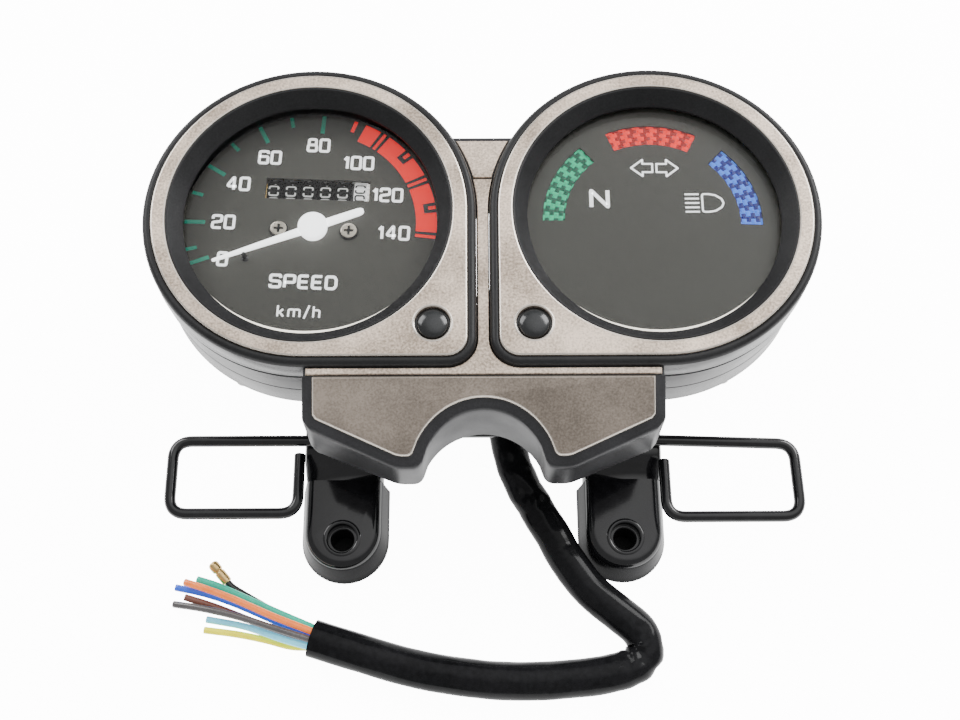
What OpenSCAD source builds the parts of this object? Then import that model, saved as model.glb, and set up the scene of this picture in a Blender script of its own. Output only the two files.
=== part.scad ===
// Twin-pod motorcycle instrument cluster: speedometer on the left, indicator lamps on the right.
// Frame: origin midway between the two leg holes, on the plane under the legs.
// +X to the rider's right, +Y to the top of the dials, +Z out of the faces. Millimetres.

/* [Cluster] */
// Distance between the two dial centres
dial_pitch = 96; // [95.5:0.5:98]
// Distance of the dial centres from the line of the leg holes
dial_y = 82; // [82:0.5:86]
// Height of the raised faces above the plane under the legs
face_z = 54; // [54:0.5:56]

/* [Pods] */
// Outer radius of a pod's rim
rim_r = 46.2; // [46:0.1:46.4]
// Radius of the square corner of a pod's rim
corner_r = 8; // [6:0.5:9]
// Width of the black border round the raised face
border_w = 2.5; // [2:0.1:3]
// Radius of the opening in the raised face
opening_r = 39.5; // [39:0.1:40]
// Radius at the foot of the cone that leads down to the lens
lip_r = 35.5; // [35:0.1:36]
// Wall thickness of the cases
wall = 2.2; // [2:0.1:2.4]
// Depth of the upper case below the raised face
upper_depth = 14; // [14:0.5:15]
// Depth of a whole pod below the raised face
pod_depth = 33; // [33:0.5:34]

/* [Dials] */
// Depth of the dial surface below the raised face
dial_depth = 12.5; // [12.5:0.1:12.8]
// Depth of the indicator panel below the raised face
panel_depth = 7.4; // [7.4:0.1:8]
// Turn of the dial artwork, needle and odometer about the dial centre
dial_turn = -2.5; // [-3:0.5:-2]
// Length of the needle from its axis to its tip
needle_len = 30; // [28:0.5:31]
// Rest angle of the needle, anticlockwise from +X
needle_rest = 200.5; // [198:0.5:203]

/* [Odometer] */
// Radius of a number drum
drum_r = 6; // [5.8:0.1:6]
// Spacing of the number drums
drum_pitch = 5; // [5:0.1:5.1]

/* [Bracket] */
// Distance between the two leg holes
hole_pitch = 80; // [79:0.5:81]
// Radius of a leg hole
leg_hole_r = 4.1; // [3.9:0.1:4.3]
// Radius of the bore in the collar under a leg hole
collar_bore_r = 3.1; // [3:0.1:3.3]
// Height of a foot's top face
foot_z = 12; // [12:0.5:12.5]
// Thickness of the bracket's sheet steel
sheet_t = 2; // [1.8:0.1:2]

/* [Cable guides] */
// Diameter of the guide wire
guide_d = 3.2; // [3:0.1:3.4]
// Distance of a guide's outer side from the middle
guide_x = 88; // [86:0.5:90]

/* [Harness] */
// Diameter of the harness sleeve
sleeve_d = 10.5; // [10:0.1:10.5]
// Diameter of one wire
wire_d = 2; // [1.8:0.1:2]

/* [Hidden] */
$fn = 96;
eps = 0.01;
half_pitch = dial_pitch / 2;
plate_bottom = 13.4;
plate_top = plate_bottom + sheet_t;
back_z = face_z - pod_depth;
lower_inset = 0.9;
// Heights below a raised face, positive downwards
face_step = 0.8;
skirt_depth = 9;
groove_depth = 10.4;
lip_top = 4.0;
lip_bottom = 5.0;
gasket_t = 0.6;
lens_t = 1.5;
lens_r = 38.4;
tube_r = 38.7;
tube_t = 1.5;
dial_r = 38.3;
dial_t = 0.6;
// Screw plugs on the raised faces
plug_at = [34.4, -34.4];
plug_recess_r = 4.9;
plug_recess_depth = 1.2;
plug_r = 4.2;
plug_stem_r = 3.1;
case_screw_r = 1.6;
case_screw_seat = 6;
connector_r = 6;
connector_neck_r = 4.9;
// Rear hump over the speedometer drive, and the cable connector
hump_r = 16.5;
hump_depth = 46;
hump_wall = 1.9;
hump_lobe_r = 14.5;
running_gap = 0.05;
mesh_gap = 0.15;
shaft_r = 2.6;
magnet_r = 8;
cup_r = 9.6;
worm_r = 3.4;
worm_depth = 39.6;
// Cross shaft beside the input worm, and riser shaft that climbs to the odometer
thin_shaft_r = 0.8;
cross_wheel_r = 3.2;
cross_x = worm_r + cross_wheel_r + mesh_gap;
cross_worm_r = 2.2;
riser_at = [18.2, 18.1];
riser_wheel_r = riser_at[0] - cross_x - cross_worm_r - mesh_gap;
riser_worm_r = 1.9;
riser_angle = atan2(riser_at[1], riser_at[0]);
stop_out = 20.9;
// Odometer, in the turned dial frame
drum_count = 6;
odo_y = 13.3;
odo_window = [30, 6.6];
odo_depth = 20;
odo_shaft_r = 1;
drum_w = 4.4;
drum_x0 = -drum_pitch * (drum_count - 1) / 2;
drum_wheel_r = riser_at[1] - odo_y - riser_worm_r - mesh_gap;
drum_hub_r = 1.8;
side_plate_x = 15;
side_plate_t = 0.8;
pinion_r = 2.1;
pinion_y = odo_y + drum_r + pinion_r + mesh_gap;
// Arc-shaped windows of the indicator panel: neutral, turn signals and high beam
window_r = [24.8, 31];
window_middles = [154.5, 88.5, 22.5];
window_half = 25;
window_lap = 0.8;
// Bulb holders
speedo_bulb_at = [-26, 9];
bulb_at = [[-25, 12], [0.8, 28], [25.8, 10.7]];
holder_r = 6.4;
holder_neck_r = 5.7;
holder_flange_r = 7.8;
holder_flange_t = 1.6;
bulb_r = 3.4;
// Studs that hold the pods to the bracket
stud_at = [[-65, 56], [-24, 56], [24, 56], [65, 56]];
stud_r = 2.5;
stud_z = 6;
grommet_r = 5;
// Screws at the rim of each pod, driven from the back
rim_screw_r = 1.3;
rim_screw_at = 42.1;
rim_screw_angles = [100, 170, 240];
// Bracket
collar_r = 6;
leg_x = hole_pitch / 2;
leg_top_r = 10.2;
leg_base_r = 12.6;
leg_end_y = 2.2;
fold_y = 17;
pad_y = 24;
plate_y0 = 29;
plate_y1 = 65;
plate_half = 74;
tongue_half = 51;
wing_y = 46.5;
post_at = [34, 26.4];
post_r = 3.4;
post_top = 33;
cover_screw_r = 1.5;
guide_y = 27.2;
guide_y_low = 5.5;
guide_x_in = 51.8;
guide_bend = 5;
// Chin of the centre cover
chin_half = 48.3;
chin_top_y = dial_y - 48.6;
chin_corner_y = dial_y - 59.2;
chin_side_y = dial_y - 61.6;
chin_tip = [23.5, dial_y - 71.2];
chin_slope = 22;
chin_border = 3;
notch_r = 17.2;
notch_y = dial_y - 74;
skirt_z = 27;
shelf_z = face_z - 2;
tie_at = [5.5, 46, 6.7];

// Route of the harness sleeve, from under the pods to its cut end
sleeve_path = [
    [3, 74, 6.5], [4, 60, 6.7], [5.5, 46, 6.7], [7, 33, 5.8], [9.5, 22, 5.3], [14, 12.5, 5.3], [19.5, 3, 5.3],
    [24.3, -6, 5.3], [31, -14.5, 5.3], [38, -20.5, 5.3], [42.8, -25, 5.3], [45, -30, 5.3], [41.8, -34.6, 5.3],
    [35, -37, 5.3], [26, -38.2, 5.3], [14, -39, 5.3], [-1, -38.4, 5.3], [-17.5, -35.8, 5.3], [-32, -31.8, 5.3],
    [-48, -26.8, 5.3]
];
// Routes of the wires, from the sleeve's cut end to their own ends
wire_colours = ["teal", "darkorange", "royalblue", "saddlebrown", "dimgray", "lightskyblue", "gold", "black"];
wire_paths = [
    [[-47.2, -24.2, 5.7], [-58, -19.4, 4.4], [-69, -14.3, 3], [-76, -11.2, 2.4], [-81.8, -9.3, 2.2]],
    [[-47.6, -25.5, 7.7], [-58.5, -21.2, 7], [-70, -16, 5.6], [-78.4, -12.7, 4.6], [-85, -10.4, 3.6]],
    [[-48, -26.8, 5.3], [-58.5, -21.8, 3.4], [-70, -16.6, 1.8], [-79, -13.4, 1.2], [-88, -11.4, 1.2]],
    [[-48.1, -27.1, 2.6], [-58.5, -24, 1.2], [-68, -20.2, 1.2], [-77, -16.8, 1.2], [-85, -14.4, 2]],
    [[-48.3, -27.7, 7.9], [-58.5, -24.2, 6], [-69, -20.6, 4.4], [-79, -18, 3], [-88.2, -16.2, 1.2]],
    [[-48.8, -29.3, 6.2], [-56, -27, 4.4], [-63, -24.4, 3], [-69, -22.4, 1.5], [-78.5, -20.6, 1.1]],
    [[-48.7, -29.1, 3.8], [-54.5, -28.4, 1.6], [-62, -26.4, 1.1], [-70, -24.8, 1.1], [-79, -23.6, 1.1]],
    [[-45.4, -25.6, 3.4], [-56, -20.4, 1.2], [-65, -15.4, 1.1], [-70.4, -12.3, 1.1], [-72.4, -10.9, 1.1],
        [-73.8, -9.4, 1.5]]
];
// Routes of the lamp leads, from each bulb holder to the sleeve's mouth
lead_paths = [
    [[-68, 89.4, 14], [-66.6, 83, 13], [-67, 72, 11], [-58, 64, 10], [-44, 63, 9.4], [-24, 65, 9],
        [-8, 71, 8.4], [1, 77.5, 7.9], [1.6, 74, 7.9]],
    [[18.7, 90.5, 12], [12, 84, 9.5], [6.5, 80, 8.2], [4.4, 77.5, 7.9], [4.3, 74, 7.9]],
    [[45.7, 108.3, 8], [30, 99, 6.4], [15, 87, 5.4], [6, 79.5, 5.1], [4.3, 74, 5.1]],
    [[71.8, 89.6, 8], [60, 75, 6], [36, 67, 4.4], [14, 72.5, 3], [4, 80, 2.8], [1.2, 79, 4.6], [1.6, 74, 5.1]]
];
lead_d = 1.9;

// ---- Placing and shared shapes ----

// The frame of one pod: side -1 is the speedometer, side 1 the indicators; z = 0 at the raised face
module pod(side) {
    translate([side * half_pitch, dial_y, face_z])
        children();
}

// The frame of the speedometer's artwork, needle and odometer
module speedo() {
    pod(-1)
        rotate([0, 0, dial_turn])
            children();
}

// Outline of a pod, a circle with a rounded square corner towards the middle and the bottom
module pod_outline(side, inset) {
    r = rim_r - inset;
    c = corner_r - min(inset, corner_r - 1);
    mirror([side > 0 ? 1 : 0, 0, 0]) {
        circle(r);
        translate([0, -r + c])
            square([r, r - c]);
        translate([0, -r])
            square([r - c, r]);
        translate([r - c, -r + c])
            circle(c);
    }
}

// A slab of the pod's outline between two depths
module pod_slab(side, inset, top, bottom) {
    translate([0, 0, -bottom])
        linear_extrude(bottom - top)
            pod_outline(side, inset);
}

// A disc or ring between two depths
module ring(r, bore, top, bottom) {
    translate([0, 0, -bottom])
        difference() {
            cylinder(h = bottom - top, r = r);
            if (bore > 0)
                translate([0, 0, -eps])
                    cylinder(h = bottom - top + 2 * eps, r = bore);
        }
}

// A slot between two angles of a ring, cut through a plate
module arc_slot(r_in, r_out, from, to, top, bottom) {
    reach = r_out * 1.5;
    middle = (from + to) / 2;
    translate([0, 0, -bottom])
        linear_extrude(bottom - top)
            difference() {
                intersection() {
                    circle(r_out);
                    polygon([
                        [0, 0], reach * [cos(from), sin(from)], reach * [cos(middle), sin(middle)],
                        reach * [cos(to), sin(to)]
                    ]);
                }
                circle(r_in);
            }
}

// A toothed wheel on the Z axis, centred on z = 0
module gear(teeth, r_tip, r_root, width, bore) {
    tooth_w = PI * (r_tip + r_root) / teeth / 2.3;
    translate([0, 0, -width / 2])
        linear_extrude(width)
            difference() {
                union() {
                    circle(r_root);
                    for (i = [0 : teeth - 1])
                        rotate(i * 360 / teeth)
                            translate([r_root - 0.3, -tooth_w / 2])
                                square([r_tip - r_root + 0.3, tooth_w]);
                }
                if (bore > 0)
                    circle(bore);
            }
}

// A worm on the Z axis, centred on z = 0, drawn as a row of round thread crests
module worm(crests, r, root, pitch) {
    span = crests * pitch;
    translate([0, 0, -span / 2]) {
        cylinder(h = span, r = root);
        for (i = [0 : crests - 1])
            translate([0, 0, i * pitch + pitch / 4])
                cylinder(h = pitch / 2, r = r);
    }
}

// A pan-head screw, head upwards, with its head's underside at z = 0
module screw(head_r, head_h, r, length) {
    difference() {
        union() {
            cylinder(h = head_h, r = head_r);
            translate([0, 0, -length])
                cylinder(h = length + eps, r = r);
        }
        for (turn = [0, 90])
            rotate(turn)
                translate([-head_r * 0.6, -0.35, head_h * 0.45])
                    cube([head_r * 1.2, 0.7, head_h]);
    }
}

// ---- A round tube swept along a route ----

function unit(v) = v / norm(v);
function tangent(path, i) =
    let (last = len(path) - 1)
    i == 0 ? unit(path[1] - path[0])
    : i == last ? unit(path[last] - path[last - 1])
    : unit(unit(path[i + 1] - path[i]) + unit(path[i] - path[i - 1]));
function sideways(t) = unit(cross([0, 0, 1], t));
function ring_points(path, i, r, sides) =
    let (t = tangent(path, i), u = sideways(t), v = cross(t, u))
    [for (k = [0 : sides - 1]) path[i] + r * (cos(k * 360 / sides) * u + sin(k * 360 / sides) * v)];

module tube(path, d, sides) {
    n = len(path);
    points = [for (i = [0 : n - 1]) each ring_points(path, i, d / 2, sides)];
    walls = [for (i = [0 : n - 2], k = [0 : sides - 1])
        let (a = i * sides + k, b = i * sides + (k + 1) % sides)
        each [[a, b + sides, b], [a, a + sides, b + sides]]];
    start_cap = [for (k = [0 : sides - 1]) k];
    end_cap = [for (k = [sides - 1 : -1 : 0]) (n - 1) * sides + k];
    polyhedron(points, concat([start_cap], [end_cap], walls), convexity = 6);
}

// ---- Centre cover ----

// Outline of the chin, grown or shrunk at its free edges
module chin_outline(inset) {
    difference() {
        polygon([
            [-chin_half + inset, chin_top_y], [-chin_half + inset, chin_corner_y],
            [-chin_half + 2 + inset, chin_side_y + inset / 2],
            [-chin_tip[0], chin_tip[1] + inset], [chin_tip[0], chin_tip[1] + inset],
            [chin_half - 2 - inset, chin_side_y + inset / 2], [chin_half - inset, chin_corner_y],
            [chin_half - inset, chin_top_y]
        ]);
        translate([0, notch_y])
            circle(notch_r + inset);
        translate([0, notch_y])
            polygon([
                [-notch_r - inset, 0.01], [notch_r + inset, 0.01], [notch_r + 1.5 + inset, -10],
                [-notch_r - 1.5 - inset, -10]
            ]);
    }
}

// The chin's solid, cut above by the sloping face
module chin_solid(inset, lift, bottom) {
    difference() {
        translate([0, 0, bottom])
            linear_extrude(shelf_z - bottom + lift)
                chin_outline(inset);
        translate([0, chin_top_y, shelf_z + lift])
            rotate([chin_slope, 0, 0])
                translate([-60, -60, 0])
                    cube([120, 60, 40]);
    }
}

module centre_cover() {
    gap = 0.35;
    color("rosybrown")
        difference() {
            union() {
                chin_solid(0, -0.7, skirt_z);
                chin_solid(chin_border, 0, shelf_z - 16);
                // shelf between the chin and the pods
                translate([-47.4, chin_top_y - eps, shelf_z - 9])
                    cube([94.8, 2.4, 9]);
                // web that fills the gap between the pods, up to the top tab
                translate([0, 0, shelf_z - 7])
                    linear_extrude(7)
                        difference() {
                            translate([-12, chin_top_y + 2.3])
                                square([24, dial_y + 10 - chin_top_y - 2.3]);
                            for (side = [-1, 1])
                                translate([side * half_pitch, dial_y])
                                    pod_outline(side, -gap);
                        }
                translate([0, 0, shelf_z - 8])
                    linear_extrude(6.6)
                        difference() {
                            translate([-10, dial_y + 9.9])
                                square([20, 15.1]);
                            for (side = [-1, 1])
                                translate([side * half_pitch, dial_y])
                                    pod_outline(side, -gap);
                        }
            }
            // hollow under the chin
            difference() {
                translate([0, 0, skirt_z - 1])
                    chin_hollow(shelf_z - 3 - skirt_z);
                for (x = [-post_at[0], post_at[0]])
                    translate([x, post_at[1], post_top])
                        cylinder(h = 30, r = post_r);
            }
            for (x = [-post_at[0], post_at[0]])
                translate([x, post_at[1], skirt_z])
                    cylinder(h = 14, r = cover_screw_r + 0.05);
        }
}

// The space inside the chin's walls
module chin_hollow(h) {
    difference() {
        linear_extrude(h)
            chin_outline(wall);
        translate([0, chin_top_y - wall, h - 0.5])
            rotate([chin_slope, 0, 0])
                translate([-60, -60, 0])
                    cube([120, 90, 40]);
        translate([-60, chin_top_y - wall, -1])
            cube([120, 10, h + 2]);
    }
}

module cover_screws() {
    color("silver")
        for (x = [-post_at[0], post_at[0]])
            translate([x, post_at[1], plate_bottom])
                rotate([180, 0, 0])
                    screw(3, 1.8, cover_screw_r, post_top + 6 - plate_bottom);
}

// ---- Upper cases, lenses and gaskets ----

module upper_case(side) {
    plug_x = -side * plug_at[0];
    difference() {
        union() {
            pod_slab(side, 0, face_step, skirt_depth);
            pod_slab(side, border_w, 0, face_step + eps);
            pod_slab(side, 0.9, skirt_depth - eps, groove_depth + eps);
            pod_slab(side, 0.3, groove_depth, upper_depth);
        }
        // cone from the raised face down to the lip
        translate([0, 0, -lip_top])
            cylinder(h = lip_top + eps, r1 = lip_r, r2 = opening_r + eps);
        translate([0, 0, -upper_depth])
            cylinder(h = upper_depth, r = lip_r);
        // seat of the lens, and the tube down to the dial
        ring(tube_r, 0, lip_bottom, upper_depth + 1);
        // hollow between the tube and the outer wall, with bosses for the screws
        difference() {
            pod_slab(side, wall, 3, upper_depth + 1);
            ring(tube_r + tube_t, 0, 2, upper_depth + 2);
            translate([plug_x, plug_at[1], -upper_depth - 1])
                cylinder(h = upper_depth, r = 4.6);
            at_rim_screws(side)
                translate([0, 0, -upper_depth - 1])
                    cylinder(h = upper_depth, r = 2.6);
        }
        // recess of the plug, and the screws' holes
        translate([plug_x, plug_at[1], -plug_recess_depth])
            cylinder(h = 2, r = plug_recess_r);
        translate([plug_x, plug_at[1], -case_screw_seat])
            cylinder(h = case_screw_seat, r = plug_stem_r + 0.1);
        translate([plug_x, plug_at[1], -upper_depth - 1])
            cylinder(h = upper_depth, r = case_screw_r + 0.05);
        at_rim_screws(side)
            translate([0, 0, -upper_depth - 1])
                cylinder(h = upper_depth - 4, r = rim_screw_r + 0.05);
    }
}

module speedo_upper_case() {
    color("dimgray")
        pod(-1)
            upper_case(-1);
}

module indicator_upper_case() {
    color("dimgray")
        pod(1)
            upper_case(1);
}

module lens() {
    ring(lens_r, 0, lip_bottom + gasket_t, lip_bottom + gasket_t + lens_t);
}

module speedo_lens() {
    color("lightcyan", 0.4)
        pod(-1)
            lens();
}

module indicator_lens() {
    color("lightcyan", 0.4)
        pod(1)
            lens();
}

module lens_gaskets() {
    color("black")
        for (side = [-1, 1])
            pod(side)
                ring(lens_r, 36.4, lip_bottom, lip_bottom + gasket_t);
}

// ---- Dials ----

module speedo_dial() {
    color("darkslategray") {
        speedo()
            difference() {
                ring(dial_r, 1.6, dial_depth, dial_depth + dial_t);
                // odometer window
                translate([-odo_window[0] / 2, odo_y - odo_window[1] / 2, -dial_depth - 1])
                    cube([odo_window[0], odo_window[1], 2]);
                for (x = [-10, 10])
                    translate([x, 0, -dial_depth - 1])
                        cylinder(h = 2, r = 1.3);
            }
        // pin that the needle rests against
        pod(-1)
            rotate(needle_rest)
                translate([stop_out, 1.55, -dial_depth - eps])
                    cylinder(h = dial_depth - 9.4, r = 0.55);
    }
}

module dial_screws() {
    color("silver")
        speedo()
            for (x = [-10, 10])
                translate([x, 0, -dial_depth])
                    screw(2.3, 0.9, 1.2, 2.8);
}

module indicator_panel() {
    color("darkslategray")
        pod(1)
            difference() {
                ring(dial_r, 0, panel_depth, panel_depth + dial_t);
                for (middle = window_middles)
                    arc_slot(
                        window_r[0], window_r[1], middle - window_half, middle + window_half, panel_depth - 1,
                        panel_depth + 1
                    );
            }
}

// One coloured window, lapping the back of the panel all round its slot
module window(index) {
    middle = window_middles[index];
    half = window_half + 1.5;
    back = panel_depth + dial_t;
    pod(1)
        arc_slot(
            window_r[0] - window_lap, window_r[1] + window_lap, middle - half, middle + half, back, back + 0.8
        );
}

module neutral_window() {
    color("seagreen")
        window(0);
}

module turn_window() {
    color("red")
        window(1);
}

module high_beam_window() {
    color("blue")
        window(2);
}

// ---- Lower cases ----

// Children at each rim screw of a pod
module at_rim_screws(side) {
    for (angle = rim_screw_angles)
        mirror([side > 0 ? 1 : 0, 0, 0])
            rotate(angle)
                translate([rim_screw_at, 0, 0])
                    children();
}

module lower_case(side) {
    plug_x = -side * plug_at[0];
    difference() {
        pod_slab(side, lower_inset, upper_depth, pod_depth);
        difference() {
            pod_slab(side, lower_inset + wall, upper_depth - 1, pod_depth - 2);
            translate([plug_x, plug_at[1], -pod_depth])
                cylinder(h = pod_depth, r = 4.4);
            at_rim_screws(side)
                translate([0, 0, -pod_depth])
                    cylinder(h = pod_depth, r = 3.1);
        }
        translate([plug_x, plug_at[1], -pod_depth + 3])
            cylinder(h = pod_depth, r = case_screw_r + 0.05);
        at_rim_screws(side)
            translate([0, 0, -pod_depth - 1])
                cylinder(h = pod_depth, r = rim_screw_r + 0.05);
        for (at = stud_at)
            if (at[0] * side > 0)
                translate([at[0] - side * half_pitch, at[1] - dial_y, -pod_depth - 1])
                    cylinder(h = 4, r = stud_r + running_gap);
    }
}

// The rear hump over the drive: a round boss and a lobe over the riser shaft's wheel
module hump(inset, top, bottom) {
    neck_half = hump_lobe_r - inset - 0.6;
    rotate([0, 0, dial_turn])
        translate([0, 0, -bottom])
            linear_extrude(bottom - top) {
                circle(hump_r - inset);
                rotate(riser_angle)
                    translate([0, -neck_half])
                        square([norm(riser_at), 2 * neck_half]);
                translate(riser_at)
                    circle(hump_lobe_r - inset);
            }
}

module speedo_lower_case() {
    color("dimgray")
        pod(-1)
            difference() {
                union() {
                    lower_case(-1);
                    hump(0, pod_depth - 1, hump_depth);
                }
                hump(hump_wall, pod_depth - 3, hump_depth - hump_wall);
                translate([0, 0, -hump_depth - 1])
                    cylinder(h = 4, r = connector_neck_r + running_gap);
                translate([speedo_bulb_at[0], speedo_bulb_at[1], -pod_depth - 1])
                    cylinder(h = 4, r = holder_neck_r + 0.1);
            }
}

module indicator_lower_case() {
    color("dimgray")
        pod(1)
            difference() {
                lower_case(1);
                for (at = bulb_at)
                    translate([at[0], at[1], -pod_depth - 1])
                        cylinder(h = 4, r = holder_neck_r + 0.1);
            }
}

// ---- Screws and plugs of the pods ----

module case_screws() {
    color("silver")
        for (side = [-1, 1])
            pod(side) {
                translate([-side * plug_at[0], plug_at[1], -case_screw_seat])
                    screw(2.9, 2, case_screw_r, 20);
                at_rim_screws(side)
                    translate([0, 0, -pod_depth])
                        rotate([180, 0, 0])
                            screw(2.4, 1.6, rim_screw_r, pod_depth - 7);
            }
}

module screw_plugs() {
    dome_r = 6.4;
    dome_rise = 1.5;
    color("black")
        for (side = [-1, 1])
            pod(side)
                translate([-side * plug_at[0], plug_at[1], -plug_recess_depth])
                    rotate_extrude()
                        intersection() {
                            union() {
                                square([plug_r, 0.4]);
                                translate([0, 0.4 + dome_rise - dome_r])
                                    circle(dome_r);
                                translate([0, -2.6])
                                    square([plug_stem_r, 3]);
                            }
                            union() {
                                square([plug_r, 4]);
                                translate([0, -2.6])
                                    square([plug_stem_r, 3]);
                            }
                        }
}

// ---- Needle, spindle and eddy-current drive ----

module needle() {
    color("white")
        pod(-1)
            difference() {
                union() {
                    translate([0, 0, -11.6])
                        cylinder(h = 2.9, r = 4.6);
                    rotate(needle_rest)
                        translate([0, 0, -10.7])
                            linear_extrude(0.9)
                                polygon([
                                    [needle_len, -0.4], [needle_len, 0.4], [3, 1.7], [-13, 1.15], [-15.2, 0.6],
                                    [-15.2, -0.6], [-13, -1.15], [3, -1.7]
                                ]);
                }
                translate([0, 0, -12])
                    cylinder(h = 2.5, r = thin_shaft_r);
            }
}

module needle_spindle() {
    color("silver")
        pod(-1) {
            ring(thin_shaft_r, 0, 9.5, 28.6);
            ring(1.5, 0, 26.8, 27.8);
        }
}

module drag_cup() {
    color("gainsboro")
        pod(-1)
            difference() {
                ring(cup_r, thin_shaft_r, 27.8, 34.6);
                ring(cup_r - 0.6, 0, 28.6, 35);
            }
}

// Flat spiral spring, drawn as half rings that step outwards
module hairspring() {
    turns = 3;
    wire = 0.28;
    color("goldenrod")
        pod(-1)
            translate([0, 0, -14.2])
                linear_extrude(0.6)
                    for (i = [0 : 2 * turns - 1]) {
                        r = 2.2 + i * 0.55;
                        shift = (i % 2 == 0 ? 1 : -1) * 0.275;
                        translate([shift, 0])
                            difference() {
                                circle(r + wire);
                                circle(r);
                                translate([-10, i % 2 == 0 ? -20 : 0])
                                    square([20, 20]);
                            }
                    }
}

module drive_magnet() {
    color("dimgray")
        pod(-1)
            difference() {
                ring(magnet_r, shaft_r, 29.2, 34.2);
                for (turn = [0 : 90 : 270])
                    rotate(turn)
                        translate([magnet_r, 0, -35])
                            cylinder(h = 7, r = 1.5);
            }
}

module input_shaft() {
    socket = 2.7;
    color("silver")
        pod(-1)
            difference() {
                union() {
                    ring(shaft_r, 0, 29.2, 50);
                    translate([0, 0, -worm_depth])
                        worm(6, worm_r, shaft_r, 0.9);
                }
                translate([-socket / 2, -socket / 2, -51])
                    cube([socket, socket, 10]);
            }
}

module cable_connector() {
    color("darkgray")
        pod(-1)
            difference() {
                union() {
                    ring(8, 0, 42.9, hump_depth - hump_wall);
                    ring(connector_neck_r, 0, 43.5, hump_depth + 0.5);
                    ring(connector_r, 0, hump_depth, face_z);
                }
                ring(shaft_r + running_gap, 0, 42, face_z + 1);
                ring(4.2, 0, 50, face_z + 1);
            }
}

module cross_shaft() {
    color("silver")
        speedo()
            translate([cross_x, 0, -worm_depth])
                rotate([-90, 0, 0]) {
                    translate([0, 0, -5])
                        cylinder(h = riser_at[1] + 7.6, r = thin_shaft_r);
                    gear(10, cross_wheel_r, cross_wheel_r - 0.7, 2, 0);
                    translate([0, 0, riser_at[1]])
                        worm(4, cross_worm_r, 1.5, 0.9);
                }
}

module riser_shaft() {
    color("silver")
        speedo()
            translate([riser_at[0], riser_at[1], 0]) {
                ring(thin_shaft_r, 0, 16.6, hump_depth - hump_wall - 0.2);
                translate([0, 0, -worm_depth])
                    gear(14, riser_wheel_r, riser_wheel_r - 1.1, 1.8, 0);
                translate([0, 0, -odo_depth])
                    worm(6, riser_worm_r, 1.2, 0.9);
            }
}

// Two side plates, a middle plate and a top bridge that carry the movement and the odometer
module movement_frame() {
    base_top = 35.1;
    base_bottom = 36.2;
    mid_top = 27.3;
    mid_bottom = 28.5;
    bridge_top = 14.6;
    bridge_bottom = 15.8;
    pillar_at = [11.3, -4.1];
    color("darkkhaki")
        speedo()
            difference() {
                union() {
                    ring(13.8, 0, base_top, base_bottom);
                    // bearing lugs of the cross shaft
                    for (y = [-4.6, 10.8])
                        translate([cross_x - 2, y, -worm_depth - 1.8])
                            cube([4, 1.6, worm_depth + 1.8 - base_top]);
                    for (x = [-pillar_at[0], pillar_at[0]])
                        translate([x, pillar_at[1], -base_bottom])
                            cylinder(h = base_bottom - bridge_top, r = 1.2);
                    translate([-16.9, -5.6, -mid_bottom])
                        cube([37.4, riser_at[1] + 12.3, mid_bottom - mid_top]);
                    translate([-13, -5.6, -bridge_bottom])
                        cube([26, 8.2, bridge_bottom - bridge_top]);
                    for (x = [-10, 10])
                        translate([x, 0, -bridge_bottom])
                            cylinder(h = bridge_bottom - dial_depth - dial_t, r = 2.2);
                    for (x = [-side_plate_x - side_plate_t, side_plate_x])
                        translate([x, odo_y - 5.5, -mid_bottom])
                            cube([side_plate_t, 17, mid_bottom - bridge_top]);
                }
                ring(shaft_r + running_gap, 0, base_top - 1, base_bottom + 1);
                ring(cup_r + 0.6, 0, mid_top - 1, mid_bottom + 1);
                ring(thin_shaft_r + running_gap, 0, bridge_top - 1, bridge_bottom + 1);
                for (x = [-10, 10])
                    translate([x, 0, -17])
                        cylinder(h = 5, r = 1.25);
                translate([cross_x, 0, -worm_depth])
                    rotate([-90, 0, 0])
                        translate([0, 0, -10])
                            cylinder(h = 30, r = thin_shaft_r + running_gap);
                translate([riser_at[0], riser_at[1], -30])
                    cylinder(h = 5, r = thin_shaft_r + running_gap);
                // shaft of the drums, hub of the tenths drum and shaft of the pinions
                translate([-20, odo_y, -odo_depth])
                    rotate([0, 90, 0])
                        cylinder(h = 30, r = odo_shaft_r);
                translate([14, odo_y, -odo_depth])
                    rotate([0, 90, 0])
                        cylinder(h = 3, r = drum_hub_r + 0.1);
                translate([-20, pinion_y, -odo_depth])
                    rotate([0, 90, 0])
                        cylinder(h = 40, r = thin_shaft_r + running_gap);
            }
}

// ---- Odometer ----

// The frame of the drums' axis, with Z along +X
module drum_axis() {
    speedo()
        translate([0, odo_y, -odo_depth])
            rotate([0, 90, 0])
                children();
}

module odometer_shaft() {
    color("silver")
        drum_axis()
            translate([0, 0, -side_plate_x - side_plate_t])
                cylinder(h = 2 * side_plate_x + side_plate_t + 4.2, r = odo_shaft_r);
}

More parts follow.
